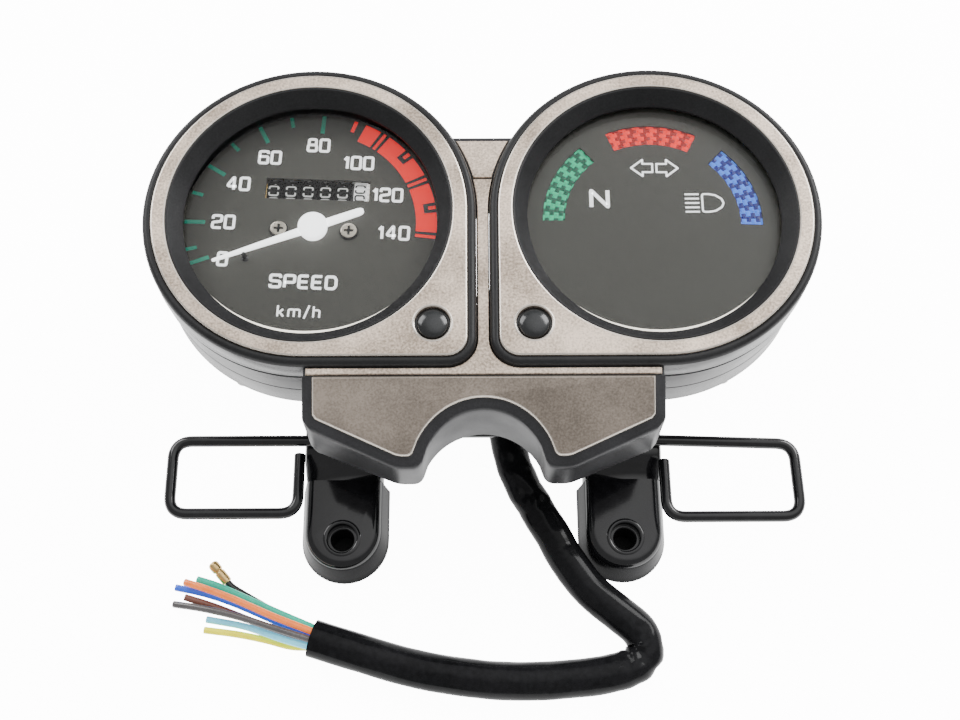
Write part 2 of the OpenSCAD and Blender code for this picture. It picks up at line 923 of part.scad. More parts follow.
module odometer_drum(index) {
    tenths = index == drum_count;
    color(tenths ? "white" : "black")
        drum_axis()
            translate([0, 0, drum_x0 + drum_pitch * (index - 1)])
                difference() {
                    union() {
                        translate([0, 0, -drum_w / 2])
                            cylinder(h = drum_w - 0.8, r = drum_r);
                        translate([0, 0, drum_w / 2 - 0.41])
                            gear(20, drum_r - 0.3, drum_r - 1, 0.82, 0);
                        if (tenths) {
                            cylinder(h = riser_at[0] - drum_x0 - drum_pitch * (index - 1), r = drum_hub_r);
                            translate([0, 0, riser_at[0] - drum_x0 - drum_pitch * (index - 1)])
                                gear(10, drum_wheel_r, drum_wheel_r - 0.7, 1.6, 0);
                        }
                    }
                    translate([0, 0, -10])
                        cylinder(h = 30, r = odo_shaft_r + running_gap);
                    // rim that leaves the drum hollow on its left
                    translate([0, 0, -drum_w / 2 - eps])
                        difference() {
                            cylinder(h = drum_w - 1.6, r = drum_r - 0.9);
                            cylinder(h = drum_w, r = 1.9);
                        }
                }
}

module transfer_pinions() {
    color("ivory")
        speedo()
            translate([0, pinion_y, -odo_depth])
                rotate([0, 90, 0]) {
                    translate([0, 0, -side_plate_x - side_plate_t])
                        cylinder(h = 2 * (side_plate_x + side_plate_t), r = thin_shaft_r);
                    for (index = [1 : drum_count - 1])
                        translate([0, 0, drum_x0 + drum_pitch * (index - 0.5)])
                            gear(8, pinion_r, pinion_r - 0.6, 2.4, 0);
                }
}

// ---- Lamps ----

module lamp_house() {
    house_r = 37.2;
    house_top = panel_depth + dial_t + 1;
    house_bottom = pod_depth - 2;
    color("white")
        pod(1)
            difference() {
                union() {
                    ring(house_r, house_r - 1.2, house_top, house_bottom);
                    ring(house_r - 0.6, 0, house_bottom - 1.2, house_bottom - eps);
                    ring(9.5, 8.3, house_top + 0.2, house_bottom - 0.5);
                    for (angle = [121.5, 55.5, -10.5, 187.5])
                        rotate(angle)
                            translate([8.8, -0.6, -house_bottom + 0.5])
                                cube([house_r - 9.4, 1.2, house_bottom - house_top - 0.8]);
                }
                for (at = bulb_at)
                    translate([at[0], at[1], -pod_depth])
                        cylinder(h = 5, r = holder_neck_r + 0.2);
                for (at = stud_at)
                    if (at[0] > 0)
                        translate([at[0] - half_pitch, at[1] - dial_y, -pod_depth])
                            cylinder(h = 5, r = 5.2);
            }
}

// Children at each bulb holder, in the frame of its pod
module at_bulbs() {
    pod(-1)
        translate([speedo_bulb_at[0], speedo_bulb_at[1], 0])
            children();
    pod(1)
        for (at = bulb_at)
            translate([at[0], at[1], 0])
                children();
}

module bulb_holders() {
    neck_top = pod_depth - 4;
    color("black")
        at_bulbs()
            difference() {
                union() {
                    ring(holder_neck_r, 0, neck_top, pod_depth + eps);
                    ring(holder_flange_r, 0, pod_depth, pod_depth + holder_flange_t);
                    ring(holder_r, 0, pod_depth + holder_flange_t - eps, face_z);
                }
                ring(bulb_r, 0, neck_top - 1, pod_depth);
            }
}

module bulbs() {
    color("lightyellow")
        at_bulbs() {
            ring(bulb_r, 0, 24, pod_depth);
            translate([0, 0, -24])
                intersection() {
                    sphere(bulb_r);
                    cylinder(h = bulb_r, r = bulb_r);
                }
        }
}

module lamp_lead(index) {
    color("gray")
        tube(lead_paths[index], lead_d, 8);
}

// ---- Bracket, guides and mounts ----

// One leg of the bracket: a drafted tongue, pressed hollow from below
module leg_body(inset, h, north) {
    hull() {
        for (y = [leg_end_y, north])
            translate([0, y, 0])
                cylinder(h = h, r1 = leg_base_r - inset, r2 = leg_top_r - inset, $fn = 48);
    }
}

module leg() {
    difference() {
        union() {
            intersection() {
                leg_body(0, foot_z, fold_y);
                translate([-20, -20, 0])
                    cube([40, 20 + fold_y, foot_z]);
            }
            // ramp and cheeks up to the cross plate
            rotate([90, 0, 90])
                translate([0, 0, -leg_top_r - 0.9])
                    linear_extrude(2 * leg_top_r + 1.8)
                        polygon([
                            [fold_y - eps, 0.5], [fold_y - eps, foot_z], [pad_y, plate_top],
                            [plate_y0 + eps, plate_top], [plate_y0 + eps, plate_bottom],
                            [plate_y0 - 1, plate_bottom]
                        ]);
        }
        difference() {
            translate([0, 0, -eps])
                leg_body(sheet_t, foot_z - sheet_t, fold_y + 20);
            translate([-20, plate_y0, -1])
                cube([40, 20, 20]);
        }
        // underside of the ramp
        rotate([90, 0, 90])
            translate([0, 0, -leg_top_r + 1.1])
                linear_extrude(2 * leg_top_r - 2.2)
                    polygon([
                        [fold_y - 4, -1], [fold_y - 4, foot_z - sheet_t], [fold_y, foot_z - sheet_t],
                        [pad_y, plate_bottom], [plate_y0 + 1, plate_bottom], [plate_y0 + 1, -1]
                    ]);
        translate([0, 0, -1])
            cylinder(h = foot_z + 2, r = leg_hole_r);
    }
}

// Outline of the cross plate: wings under the pods, and a narrower tongue towards the legs
module plate_outline() {
    corner = 6;
    translate([-plate_half + corner, wing_y])
        square([2 * (plate_half - corner), plate_y1 - wing_y]);
    translate([-plate_half, wing_y + corner])
        square([2 * plate_half, plate_y1 - wing_y - 2 * corner]);
    for (x = [-plate_half + corner, plate_half - corner], y = [wing_y + corner, plate_y1 - corner])
        translate([x, y])
            circle(corner);
    translate([-tongue_half, plate_y0])
        square([2 * tongue_half, plate_y1 - plate_y0 - corner]);
}

module bracket() {
    color("black")
        difference() {
            union() {
                translate([0, 0, plate_bottom])
                    linear_extrude(sheet_t)
                        plate_outline();
                for (side = [-1, 1]) {
                    translate([side * leg_x, 0, 0])
                        leg();
                    translate([side * post_at[0], post_at[1], plate_top - eps])
                        cylinder(h = post_top - plate_top + eps, r = post_r);
                }
            }
            for (at = stud_at)
                translate([at[0], at[1], 0])
                    cylinder(h = 30, r = grommet_r);
            for (side = [-1, 1])
                translate([side * post_at[0], post_at[1], 0])
                    cylinder(h = 40, r = cover_screw_r + 0.1);
        }
}

// A quarter bend of the guide wire, from +X round to +Y
module guide_corner() {
    rotate_extrude(angle = 90)
        translate([guide_bend, 0])
            circle(guide_d / 2);
}

module guide_rod(from, to) {
    length = norm(to - from);
    translate([from[0], from[1], 0])
        rotate([0, 0, atan2(to[1] - from[1], to[0] - from[0])])
            rotate([0, 90, 0])
                cylinder(h = length, r = guide_d / 2);
}

// The right-hand guide: out from the bracket, down, back in and up to a free end
module cable_guide() {
    free_end_y = 23;
    translate([0, 0, plate_top + guide_d / 2]) {
        guide_rod([40, guide_y], [guide_x - guide_bend, guide_y]);
        translate([guide_x - guide_bend, guide_y - guide_bend, 0])
            guide_corner();
        guide_rod([guide_x, guide_y_low + guide_bend], [guide_x, guide_y - guide_bend]);
        translate([guide_x - guide_bend, guide_y_low + guide_bend, 0])
            rotate(-90)
                guide_corner();
        guide_rod([guide_x_in + guide_bend, guide_y_low], [guide_x - guide_bend, guide_y_low]);
        translate([guide_x_in + guide_bend, guide_y_low + guide_bend, 0])
            rotate(180)
                guide_corner();
        guide_rod([guide_x_in, guide_y_low + guide_bend], [guide_x_in, free_end_y]);
    }
}

module cable_guide_left() {
    color("black")
        mirror([1, 0, 0])
            cable_guide();
}

module cable_guide_right() {
    color("black")
        cable_guide();
}

module leg_collars() {
    color("dimgray")
        for (x = [-leg_x, leg_x])
            translate([x, 0, 0])
                difference() {
                    cylinder(h = foot_z - sheet_t - 2 * eps, r = collar_r);
                    translate([0, 0, -1])
                        cylinder(h = foot_z, r = collar_bore_r);
                }
}

// Children at each stud
module at_studs() {
    for (at = stud_at)
        translate([at[0], at[1], 0])
            children();
}

module pod_studs() {
    color("silver")
        at_studs() {
            translate([0, 0, stud_z])
                cylinder(h = back_z + 2 - stud_z, r = stud_r);
            translate([0, 0, back_z + 2])
                cylinder(h = 1.2, r = 4.5);
        }
}

module pod_grommets() {
    lip = 2.5;
    color("black")
        at_studs()
            difference() {
                union() {
                    translate([0, 0, plate_top])
                        cylinder(h = back_z - plate_top, r = 8);
                    translate([0, 0, plate_bottom - eps])
                        cylinder(h = sheet_t + 2 * eps, r = grommet_r - running_gap);
                    translate([0, 0, plate_bottom - lip])
                        cylinder(h = lip, r = 7);
                }
                cylinder(h = 40, r = stud_r + 0.1);
            }
}

module pod_nuts() {
    top = plate_bottom - 2.5;
    color("silver")
        at_studs()
            difference() {
                union() {
                    translate([0, 0, top - 1])
                        cylinder(h = 1, r = 5.6);
                    translate([0, 0, top - 4])
                        cylinder(h = 3 + eps, r = 4.6, $fn = 6);
                }
                cylinder(h = 40, r = stud_r + 0.05);
            }
}

// ---- Harness ----

module harness_tie() {
    ring_in = sleeve_d / 2 + 0.2;
    color("black")
        translate(tie_at)
            rotate([90, 0, 6])
                translate([0, 0, -2.4])
                    difference() {
                        cylinder(h = 4.8, r = ring_in + 1.2);
                        translate([0, 0, -1])
                            cylinder(h = 7, r = ring_in);
                    }
}

module harness_sleeve() {
    color("black")
        tube(sleeve_path, sleeve_d, 12);
}

module wire(index) {
    color(wire_colours[index])
        tube(wire_paths[index], wire_d, 8);
}

// Brass bullet terminal crimped on the end of the black wire
module bullet_terminal() {
    path = wire_paths[7];
    end = path[len(path) - 1];
    aim = tangent(path, len(path) - 1);
    color("goldenrod")
        translate(end)
            rotate([0, acos(aim[2]), atan2(aim[1], aim[0])])
                rotate_extrude()
                    polygon([
                        [0, 0], [1.45, 0], [1.45, 2.5], [1.1, 2.8], [1.1, 3.8], [1.7, 4.2], [1.7, 5.4],
                        [1.2, 6.2], [0, 6.5]
                    ]);
}

module odometer_drum_1() { odometer_drum(1); }
module odometer_drum_2() { odometer_drum(2); }
module odometer_drum_3() { odometer_drum(3); }
module odometer_drum_4() { odometer_drum(4); }
module odometer_drum_5() { odometer_drum(5); }
module odometer_drum_6() { odometer_drum(6); }
module speedo_lamp_lead() { lamp_lead(0); }
module neutral_lamp_lead() { lamp_lead(1); }
module turn_lamp_lead() { lamp_lead(2); }
module high_beam_lamp_lead() { lamp_lead(3); }
module wire_teal() { wire(0); }
module wire_orange() { wire(1); }
module wire_blue() { wire(2); }
module wire_brown() { wire(3); }
module wire_grey() { wire(4); }
module wire_light_blue() { wire(5); }
module wire_yellow() { wire(6); }
module wire_black() { wire(7); }

centre_cover();
cover_screws();
speedo_upper_case();
speedo_lens();
lens_gaskets();
speedo_dial();
dial_screws();
speedo_lower_case();
indicator_upper_case();
indicator_lens();
indicator_panel();
indicator_lower_case();
case_screws();
screw_plugs();
needle();
needle_spindle();
drag_cup();
hairspring();
movement_frame();
drive_magnet();
input_shaft();
cable_connector();
cross_shaft();
riser_shaft();
odometer_shaft();
odometer_drum_1();
odometer_drum_2();
odometer_drum_3();
odometer_drum_4();
odometer_drum_5();
odometer_drum_6();
transfer_pinions();
lamp_house();
neutral_window();
turn_window();
high_beam_window();
bulb_holders();
bulbs();
speedo_lamp_lead();
neutral_lamp_lead();
turn_lamp_lead();
high_beam_lamp_lead();
bracket();
cable_guide_left();
cable_guide_right();
leg_collars();
pod_studs();
pod_grommets();
pod_nuts();
harness_tie();
harness_sleeve();
wire_teal();
wire_orange();
wire_blue();
wire_brown();
wire_grey();
wire_light_blue();
wire_yellow();
wire_black();
bullet_terminal();
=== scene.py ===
"""Looks of the twin-pod motorcycle instrument cluster. Shapes are written in millimetres in the row frame."""

import math

import bmesh
import bpy
from mathutils import Matrix, Vector, noise


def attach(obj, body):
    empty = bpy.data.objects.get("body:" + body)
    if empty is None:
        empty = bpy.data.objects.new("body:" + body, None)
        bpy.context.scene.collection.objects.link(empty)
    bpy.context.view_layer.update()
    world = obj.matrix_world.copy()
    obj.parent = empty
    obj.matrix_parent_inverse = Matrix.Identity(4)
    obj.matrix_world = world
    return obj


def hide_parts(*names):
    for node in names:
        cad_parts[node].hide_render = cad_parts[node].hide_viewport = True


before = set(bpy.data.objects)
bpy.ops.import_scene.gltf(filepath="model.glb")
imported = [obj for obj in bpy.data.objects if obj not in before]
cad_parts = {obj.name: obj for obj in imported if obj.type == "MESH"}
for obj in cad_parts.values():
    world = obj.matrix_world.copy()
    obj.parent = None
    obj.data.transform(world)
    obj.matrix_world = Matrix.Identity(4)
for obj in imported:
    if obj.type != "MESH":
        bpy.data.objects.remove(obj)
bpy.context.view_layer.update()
MM = 0.001
HOUSING = "housing"
NOISE_ROUGH = 0.55
SMEAR_ROUGH = (0.03, 0.12)
COAT_ROUGH = 0.08

# ---- Main sizes, the same as the part's ----

PITCH, DIAL_Y, FACE = 48.0, 82.0, 54.0
RIM_R, CORNER_R = 46.2, 8.0
OPENING_R, LIP_R = 39.5, 35.5
DIAL_DEPTH, PANEL_DEPTH, DIAL_R = 12.5, 7.4, 38.3
DIAL_TURN = math.radians(-2.5)
NEEDLE_REST = 200.5
ODO_Y, ODO_DEPTH, DRUM_R, DRUM_PITCH = 13.3, 20.0, 6.0, 5.0
LEG_X, FOOT, PLATE_LOW, PLATE_TOP = 40.0, 12.0, 13.4, 15.4
WINDOW_R, WINDOW_HALF = (24.8, 31.0), 25.0
STUDS = [(-65, 56), (-24, 56), (24, 56), (65, 56)]
POST = (34, 26.4)
PLUG_X = 34.4
NOTCH_HALF, NOTCH_IN = 2.7, 32.5
# Case faces deeper than this that look outwards by more than SIDE_OUT get a lighter, shinier copy of the black (painted
# light), and steep faces of the legs a less reflective copy of the enamel (painted shade)
SIDE_DEPTH, SIDE_OUT, LEG_STEEP = 4.5, 10, 0.35
PLUG_RECESS_R = 4.9

# ---- Camera ----

camera_data = bpy.data.cameras.new("camera")
camera_data.lens = 50.9
camera_data.sensor_width = 36
camera_data.clip_start = 0.01
camera_data.dof.use_dof = False
camera = bpy.data.objects.new("camera", camera_data)
bpy.context.collection.objects.link(camera)
camera.matrix_world = Matrix((
    (1.0, 0.0043, -0.0051, -0.00282),
    (-0.0059, 0.9247, -0.3806, -0.0994),
    (0.0031, 0.3806, 0.9247, 0.38486),
    (0, 0, 0, 1),
))
bpy.context.scene.camera = camera


# ---- Materials ----

def node_of(tree, kind, **values):
    made = tree.nodes.new(kind)
    for key, value in values.items():
        setattr(made, key, value)
    return made


def link(tree, source, out, target, into):
    tree.links.new(source.outputs[out], target.inputs[into])


def noise_of(tree, scale, detail=4.0):
    place = node_of(tree, "ShaderNodeTexCoord")
    made = node_of(tree, "ShaderNodeTexNoise")
    made.inputs["Scale"].default_value = scale
    made.inputs["Detail"].default_value = detail
    made.inputs["Roughness"].default_value = NOISE_ROUGH
    link(tree, place, "Object", made, "Vector")
    return made


def spread(tree, source, low, high, start=0.3, end=0.7):
    made = node_of(tree, "ShaderNodeMapRange")
    for socket, value in (("From Min", start), ("From Max", end), ("To Min", low), ("To Max", high)):
        made.inputs[socket].default_value = value
    tree.links.new(source, made.inputs["Value"])
    return made.outputs["Result"]


def finish_of(name, colour, rough=0.4, metal=0.0, vary=0.15, patch=60.0, grain=1500.0, bump=0.12, depth=0.05,
              coat=0.0, tint=None, rough_vary=0.08, glow=0.0, shine=0.5, ior=1.5):
    """A surface with patchy colour and roughness and a fine grain in relief."""
    made = bpy.data.materials.new(name)
    made.use_nodes = True
    tree = made.node_tree
    shader = tree.nodes["Principled BSDF"]
    dark = [c * (1 - vary) for c in colour]
    light = [min(1.0, c * (1 + vary)) for c in (tint or colour)]
    broad = noise_of(tree, patch)
    fine = noise_of(tree, grain, 3.0)
    both = node_of(tree, "ShaderNodeMath", operation="ADD")
    half = node_of(tree, "ShaderNodeMath", operation="MULTIPLY")
    half.inputs[1].default_value = 0.5
    link(tree, broad, "Fac", both, 0)
    link(tree, fine, "Fac", both, 1)
    link(tree, both, 0, half, 0)
    ramp = node_of(tree, "ShaderNodeValToRGB")
    ramp.color_ramp.elements[0].position = 0.38
    ramp.color_ramp.elements[0].color = (*dark, 1)
    ramp.color_ramp.elements[1].position = 0.62
    ramp.color_ramp.elements[1].color = (*light, 1)
    link(tree, half, 0, ramp, "Fac")
    link(tree, ramp, "Color", shader, "Base Color")
    tree.links.new(spread(tree, broad.outputs["Fac"], rough - rough_vary, rough + rough_vary),
                   shader.inputs["Roughness"])
    relief = node_of(tree, "ShaderNodeBump")
    relief.inputs["Strength"].default_value = bump
    relief.inputs["Distance"].default_value = depth * MM
    link(tree, fine, "Fac", relief, "Height")
    link(tree, relief, "Normal", shader, "Normal")
    for socket, value in (("Metallic", metal), ("Coat Weight", coat), ("Specular IOR Level", shine), ("IOR", ior),
                          ("Coat Roughness", COAT_ROUGH)):
        shader.inputs[socket].default_value = value
    # glow makes the surface give off its own colour as light: painted light, except on the evenly lit floor.
    if glow:
        link(tree, ramp, "Color", shader, "Emission Color")
        shader.inputs["Emission Strength"].default_value = glow
    return made


def clear_finish(name, tint, shine=0.5):
    """A thin clear sheet: mostly open, with a glossy skin and faint smears."""
    made = bpy.data.materials.new(name)
    made.use_nodes = True
    tree = made.node_tree
    tree.nodes.remove(tree.nodes["Principled BSDF"])
    out = tree.nodes["Material Output"]
    opening = node_of(tree, "ShaderNodeBsdfTransparent")
    opening.inputs["Color"].default_value = (*tint, 1)
    skin = node_of(tree, "ShaderNodeBsdfGlossy")
    smear = noise_of(tree, 90.0, 5.0)
    tree.links.new(spread(tree, smear.outputs["Fac"], *SMEAR_ROUGH, 0.45, 0.8), skin.inputs["Roughness"])
    edge = node_of(tree, "ShaderNodeFresnel")
    edge.inputs["IOR"].default_value = 1.0 + shine
    mix = node_of(tree, "ShaderNodeMixShader")
    link(tree, edge, "Fac", mix, "Fac")
    link(tree, opening, 0, mix, 1)
    link(tree, skin, 0, mix, 2)
    link(tree, mix, 0, out, "Surface")
    return made


BRONZE = finish_of("champagne_paint", (0.46, 0.365, 0.285), 0.4, 0.55, 0.34, 60.0, 1500.0, 0.4, 0.06,
                   tint=(0.66, 0.545, 0.44))
# The chin's face: the pods' champagne paint in a darker copy, painted shade on the sloping face.
CHIN_BRONZE_SHADED = finish_of("champagne_paint_shaded_slope", (0.235, 0.197, 0.162), 0.45, 0.5, 0.16, 60.0, 1700.0, 0.35, 0.06,
                        tint=(0.325, 0.272, 0.226))
# A lighter, glossier copy of the champagne paint on the rounded edges round the pod faces, the plug recesses and the
# chin: painted highlight along the edges.
BRONZE_EDGE_HIGHLIGHT = finish_of("champagne_edge_highlight", (0.66, 0.6, 0.53), 0.28, 0.7, 0.12, 60.0, 2400.0, 0.15, 0.03)
BLACK_ABS = finish_of("satin_black_abs", (0.026, 0.026, 0.028), 0.36, 0.0, 0.25, 70.0, 2200.0, 0.2, 0.05, shine=0.32)
# A lighter, shinier copy of the case's black for its outward sides and the lower cases: painted light.
SIDE_ABS_LIT = finish_of("case_side_abs_lit", (0.034, 0.034, 0.035), 0.27, 0.0, 0.2, 60.0, 1800.0, 0.06, 0.03, shine=0.75)
RIM_ABS = finish_of("rim_black_abs", (0.017, 0.017, 0.018), 0.42, 0.0, 0.25, 60.0, 1800.0, 0.08, 0.03, shine=0.22)
CLEAR = clear_finish("clear_acrylic", (0.97, 0.975, 0.97), 0.28)
BULB_GLASS = clear_finish("bulb_glass", (0.93, 0.9, 0.84), 0.52)
DIAL_INK = finish_of("dial_ground", (0.086, 0.084, 0.074), 0.6, 0.0, 0.05, 40.0, 700.0, 0.0, 0.01, shine=0.25)
# The white, teal and red inks and the needle give off light of their own: painted light.
GLOWING_WHITE_INK = finish_of("white_ink_glowing", (0.82, 0.83, 0.84), 0.5, 0.0, 0.05, 120.0, 2500.0, 0.06, 0.02, glow=1.7)
GLOWING_TEAL_INK = finish_of("teal_ink_glowing", (0.01, 0.33, 0.22), 0.5, 0.0, 0.18, 150.0, 2200.0, 0.06, 0.02, glow=0.1)
GLOWING_RED_INK = finish_of("red_ink_glowing", (0.93, 0.012, 0.01), 0.5, 0.0, 0.06, 110.0, 5200.0, 0.04, 0.02, glow=0.8, shine=0.2)
BLACK_INK = finish_of("black_ink", (0.02, 0.02, 0.02), 0.45, 0.0, 0.2, 100.0, 2200.0, 0.06, 0.02)
GLOWING_NEEDLE_WHITE = finish_of("needle_white_glowing", (0.84, 0.85, 0.86), 0.33, 0.0, 0.04, 130.0, 2300.0, 0.05, 0.02, glow=3.2)


def filter_pair(colour, light, dark, glow):
    """The two tones of a moulded colour filter, both glowing, the dark one less: painted light and shade of its moulded
    facets.
    """
    return [finish_of(colour + "_filter_" + tone, paint, 0.3, 0.0, 0.2, 400.0, 1500.0, 0.2, 0.08, glow=shown, shine=0.3)
            for tone, paint, shown in (("light", light, glow), ("dark", dark, glow / 3))]


LENS_GLOW_PAIRS = {
    "green": filter_pair("green", (0.0, 0.55, 0.27), (0.0, 0.13, 0.07), 0.45),
    "red": filter_pair("red", (0.98, 0.02, 0.012), (0.42, 0.004, 0.003), 0.9),
    "blue": filter_pair("blue", (0.05, 0.2, 0.95), (0.006, 0.015, 0.25), 0.7),
}
GLOSS_BLACK = finish_of("gloss_black", (0.012, 0.012, 0.013), 0.12, 0.0, 0.3, 80.0, 1500.0, 0.04, 0.02,
                        rough_vary=0.04, coat=0.3)
PLUG_BLACK = finish_of("plug_black", (0.014, 0.015, 0.016), 0.16, 0.0, 0.3, 80.0, 1500.0, 0.05, 0.02,
                       rough_vary=0.04)
DRUM_BLACK = finish_of("drum_black", (0.008, 0.008, 0.008), 0.65, 0.0, 0.3, 80.0, 1500.0, 0.05, 0.02, shine=0.15)
# The drums' digit ink and the last drum's white give off light of their own: painted light.
GLOWING_DRUM_INK = finish_of("drum_ink_glowing", (0.8, 0.8, 0.79), 0.5, 0.0, 0.05, 80.0, 1500.0, 0.05, 0.02, glow=0.05)
GLOWING_DRUM_WHITE = finish_of("drum_white_glowing", (0.84, 0.84, 0.83), 0.5, 0.0, 0.05, 80.0, 1500.0, 0.05, 0.02, glow=0.7)
# A pale, glowing colour for the ring on the lens's step: painted highlight.
LENS_GLINT = finish_of("lens_edge_painted_glint", (0.86, 0.82, 0.72), 0.2, 0.0, 0.12, 70.0, 900.0, 0.1, 0.05, glow=1.4)
ENAMEL = finish_of("black_enamel", (0.007, 0.007, 0.008), 0.12, 0.0, 0.4, 35.0, 420.0, 0.1, 0.12, coat=0.2,
                   rough_vary=0.05, shine=0.35)
# The legs' enamel again, less reflective, for their steep faces: painted shade.
ENAMEL_SIDE_SHADED = finish_of("black_enamel_side_shaded", (0.007, 0.007, 0.008), 0.16, 0.0, 0.4, 35.0, 420.0, 0.06, 0.12,
                        rough_vary=0.05, shine=0.6, ior=1.08)
PVC = finish_of("pvc_sleeve", (0.009, 0.009, 0.01), 0.15, 0.0, 0.35, 55.0, 700.0, 0.1, 0.1, shine=0.2, ior=1.33)
RUBBER = finish_of("black_rubber", (0.02, 0.02, 0.021), 0.62, 0.0, 0.3, 120.0, 1500.0, 0.3, 0.08)
ZINC = finish_of("zinc_steel", (0.62, 0.61, 0.58), 0.3, 1.0, 0.15, 200.0, 2500.0, 0.15, 0.03)
NICKEL = finish_of("nickel_screw", (0.46, 0.42, 0.36), 0.3, 1.0, 0.15, 300.0, 2500.0, 0.12, 0.03)
ALUMINIUM = finish_of("spun_aluminium", (0.78, 0.78, 0.8), 0.3, 1.0, 0.1, 250.0, 2600.0, 0.15, 0.02)
BRASS = finish_of("drawn_brass", (0.72, 0.5, 0.2), 0.26, 1.0, 0.2, 260.0, 2300.0, 0.15, 0.03)
FERRITE = finish_of("ferrite", (0.1, 0.1, 0.105), 0.5, 0.4, 0.2, 200.0, 1500.0, 0.25, 0.05)
CASTING = finish_of("zinc_casting", (0.42, 0.42, 0.42), 0.42, 0.9, 0.15, 150.0, 1200.0, 0.3, 0.06)
WHITE_PLASTIC = finish_of("white_plastic", (0.78, 0.78, 0.75), 0.42, 0.0, 0.06, 90.0, 1500.0, 0.08, 0.03)
COPPER = finish_of("copper_strands", (0.7, 0.32, 0.16), 0.3, 1.0, 0.2, 900.0, 4000.0, 0.3, 0.03)
PAPER = finish_of("studio_floor", (0.9, 0.9, 0.9), 0.7, 0.0, 0.015, 6.0, 900.0, 0.03, 0.02, rough_vary=0.05,
                  glow=6.0)
WIRE_COLOURS = {
    "teal": (0.0, 0.42, 0.28), "orange": (0.95, 0.2, 0.03), "blue": (0.03, 0.11, 0.72), "brown": (0.13, 0.05, 0.035),
    "grey": (0.075, 0.07, 0.07), "light_blue": (0.2, 0.72, 0.98), "yellow": (0.96, 0.85, 0.01),
    "black": (0.012, 0.012, 0.012),
}


# ---- Mesh making ----

def shaded(mesh, angle):
    mesh.shade_smooth()
    mesh.set_sharp_from_angle(angle=math.radians(angle))


def solid(name, points, faces, paint, angle=32.0):
    """A mesh from points in millimetres; faces are turned to look outwards."""
    mesh = bpy.data.meshes.new(name)
    mesh.from_pydata([Vector(p) * MM for p in points], [], faces)
    work = bmesh.new()
    work.from_mesh(mesh)
    bmesh.ops.recalc_face_normals(work, faces=work.faces)
    work.to_mesh(mesh)
    work.free()
    for each in (paint if isinstance(paint, (list, tuple)) else [paint]):
        mesh.materials.append(each)
    shaded(mesh, angle)
    made = bpy.data.objects.new(name, mesh)
    bpy.context.collection.objects.link(made)
    return made


def lofted(loops, closed=False, cap_start=False, cap_end=False):
    """Points and faces of a skin through loops of equal length."""
    count = len(loops[0])
    points = [p for loop in loops for p in loop]
    faces = []
    last = len(loops) if closed else len(loops) - 1
    for i in range(last):
        a, b = i * count, ((i + 1) % len(loops)) * count
        for k in range(count):
            n = (k + 1) % count
            faces.append((a + k, a + n, b + n, b + k))
    if cap_start:
        faces.append(tuple(range(count)))
    if cap_end:
        faces.append(tuple(range((len(loops) - 1) * count, len(loops) * count)))
    return points, faces


def merged(parts):
    """Several (points, faces) as one."""
    points, faces = [], []
    for more_points, more_faces in parts:
        base = len(points)
        points += [tuple(p) for p in more_points]
        faces += [tuple(i + base for i in f) for f in more_faces]
    return points, faces


def turned_loops(profile, segments, centre):
    turns = [2 * math.pi * k / segments for k in range(segments)]
    return [[(centre[0] + r * math.cos(a), centre[1] + r * math.sin(a), centre[2] + z) for a in turns]
            for r, z in profile]


def turned(profile, segments=64, centre=(0, 0, 0)):
    """A closed skin turned about Z through a profile of (radius, height)."""
    return lofted(turned_loops(profile, segments, centre), cap_start=profile[0][0] > 0.001,
                  cap_end=profile[-1][0] > 0.001)


def ringed(profile, segments=96, centre=(0, 0, 0)):
    """A ring whose closed section is turned about Z."""
    return lofted(turned_loops(profile, segments, centre), closed=True)


def cupped(outer, inner):
    """An open cup: outer and inner loops, each from the rim to a closed bottom, joined round the rim."""
    points, faces = merged([lofted(outer, cap_end=True), lofted(inner, cap_end=True)])
    count, base = len(outer[0]), len(outer) * len(outer[0])
    faces += [(k, (k + 1) % count, base + (k + 1) % count, base + k) for k in range(count)]
    return points, faces


def moved(shape, matrix):
    points, faces = shape
    return [tuple(matrix @ Vector(p)) for p in points], faces


def settle(obj, body, *stands_for, slot=None):
    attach(obj, body)
    if stands_for:
        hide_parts(*stands_for)
    return obj


def housed(name, parts, paint, angle=30.0, *stands_for, slot=None):
    """Several shapes as one piece on the housing."""
    return settle(solid(name, *merged(parts), paint, angle), HOUSING, *stands_for, slot=slot)


def baked(obj, angle=32.0):
    """Keeps the shape that the modifiers give."""
    bpy.context.view_layer.update()
    graph = bpy.context.evaluated_depsgraph_get()
    mesh = bpy.data.meshes.new_from_object(obj.evaluated_get(graph))
    obj.modifiers.clear()
    obj.data = mesh
    shaded(mesh, angle)
    return obj


def cut_by(obj, *shapes, angle=32.0):
    """Takes shapes away from obj."""
    for number, shape in enumerate(shapes):
        tool = solid(f"tool_{number}", *shape, PAPER)
        cut = obj.modifiers.new("cut", "BOOLEAN")
        cut.operation = "DIFFERENCE"
        cut.solver = "EXACT"
        cut.object = tool
        baked(obj, angle)
        bpy.data.objects.remove(tool)
    return obj


def plate(name, outlines, low, high, edge, paint, angle=32.0):
    """A flat plate with holes: outlines in millimetres, the outer one first, with rounded edges."""
    flat = bpy.data.curves.new(name, "CURVE")
    flat.dimensions = "2D"
    flat.fill_mode = "BOTH"
    for outline in outlines:
        line = flat.splines.new("POLY")
        line.points.add(len(outline) - 1)
        for spot, (x, y) in zip(line.points, outline):
            spot.co = (x * MM, y * MM, 0, 1)
        line.use_cyclic_u = True
    flat.extrude = ((high - low) / 2 - edge) * MM
    flat.bevel_depth = edge * MM
    flat.bevel_resolution = 2
    flat.offset = -edge * MM
    shown = bpy.data.objects.new(name + "_line", flat)
    bpy.context.collection.objects.link(shown)
    bpy.context.view_layer.update()
    mesh = bpy.data.meshes.new_from_object(shown.evaluated_get(bpy.context.evaluated_depsgraph_get()))
    bpy.data.objects.remove(shown)
    mesh.transform(Matrix.Translation((0, 0, (low + high) / 2 * MM)))
    mesh.materials.clear()
    mesh.materials.append(paint)
    shaded(mesh, angle)
    made = bpy.data.objects.new(name, mesh)
    bpy.context.collection.objects.link(made)
    return made


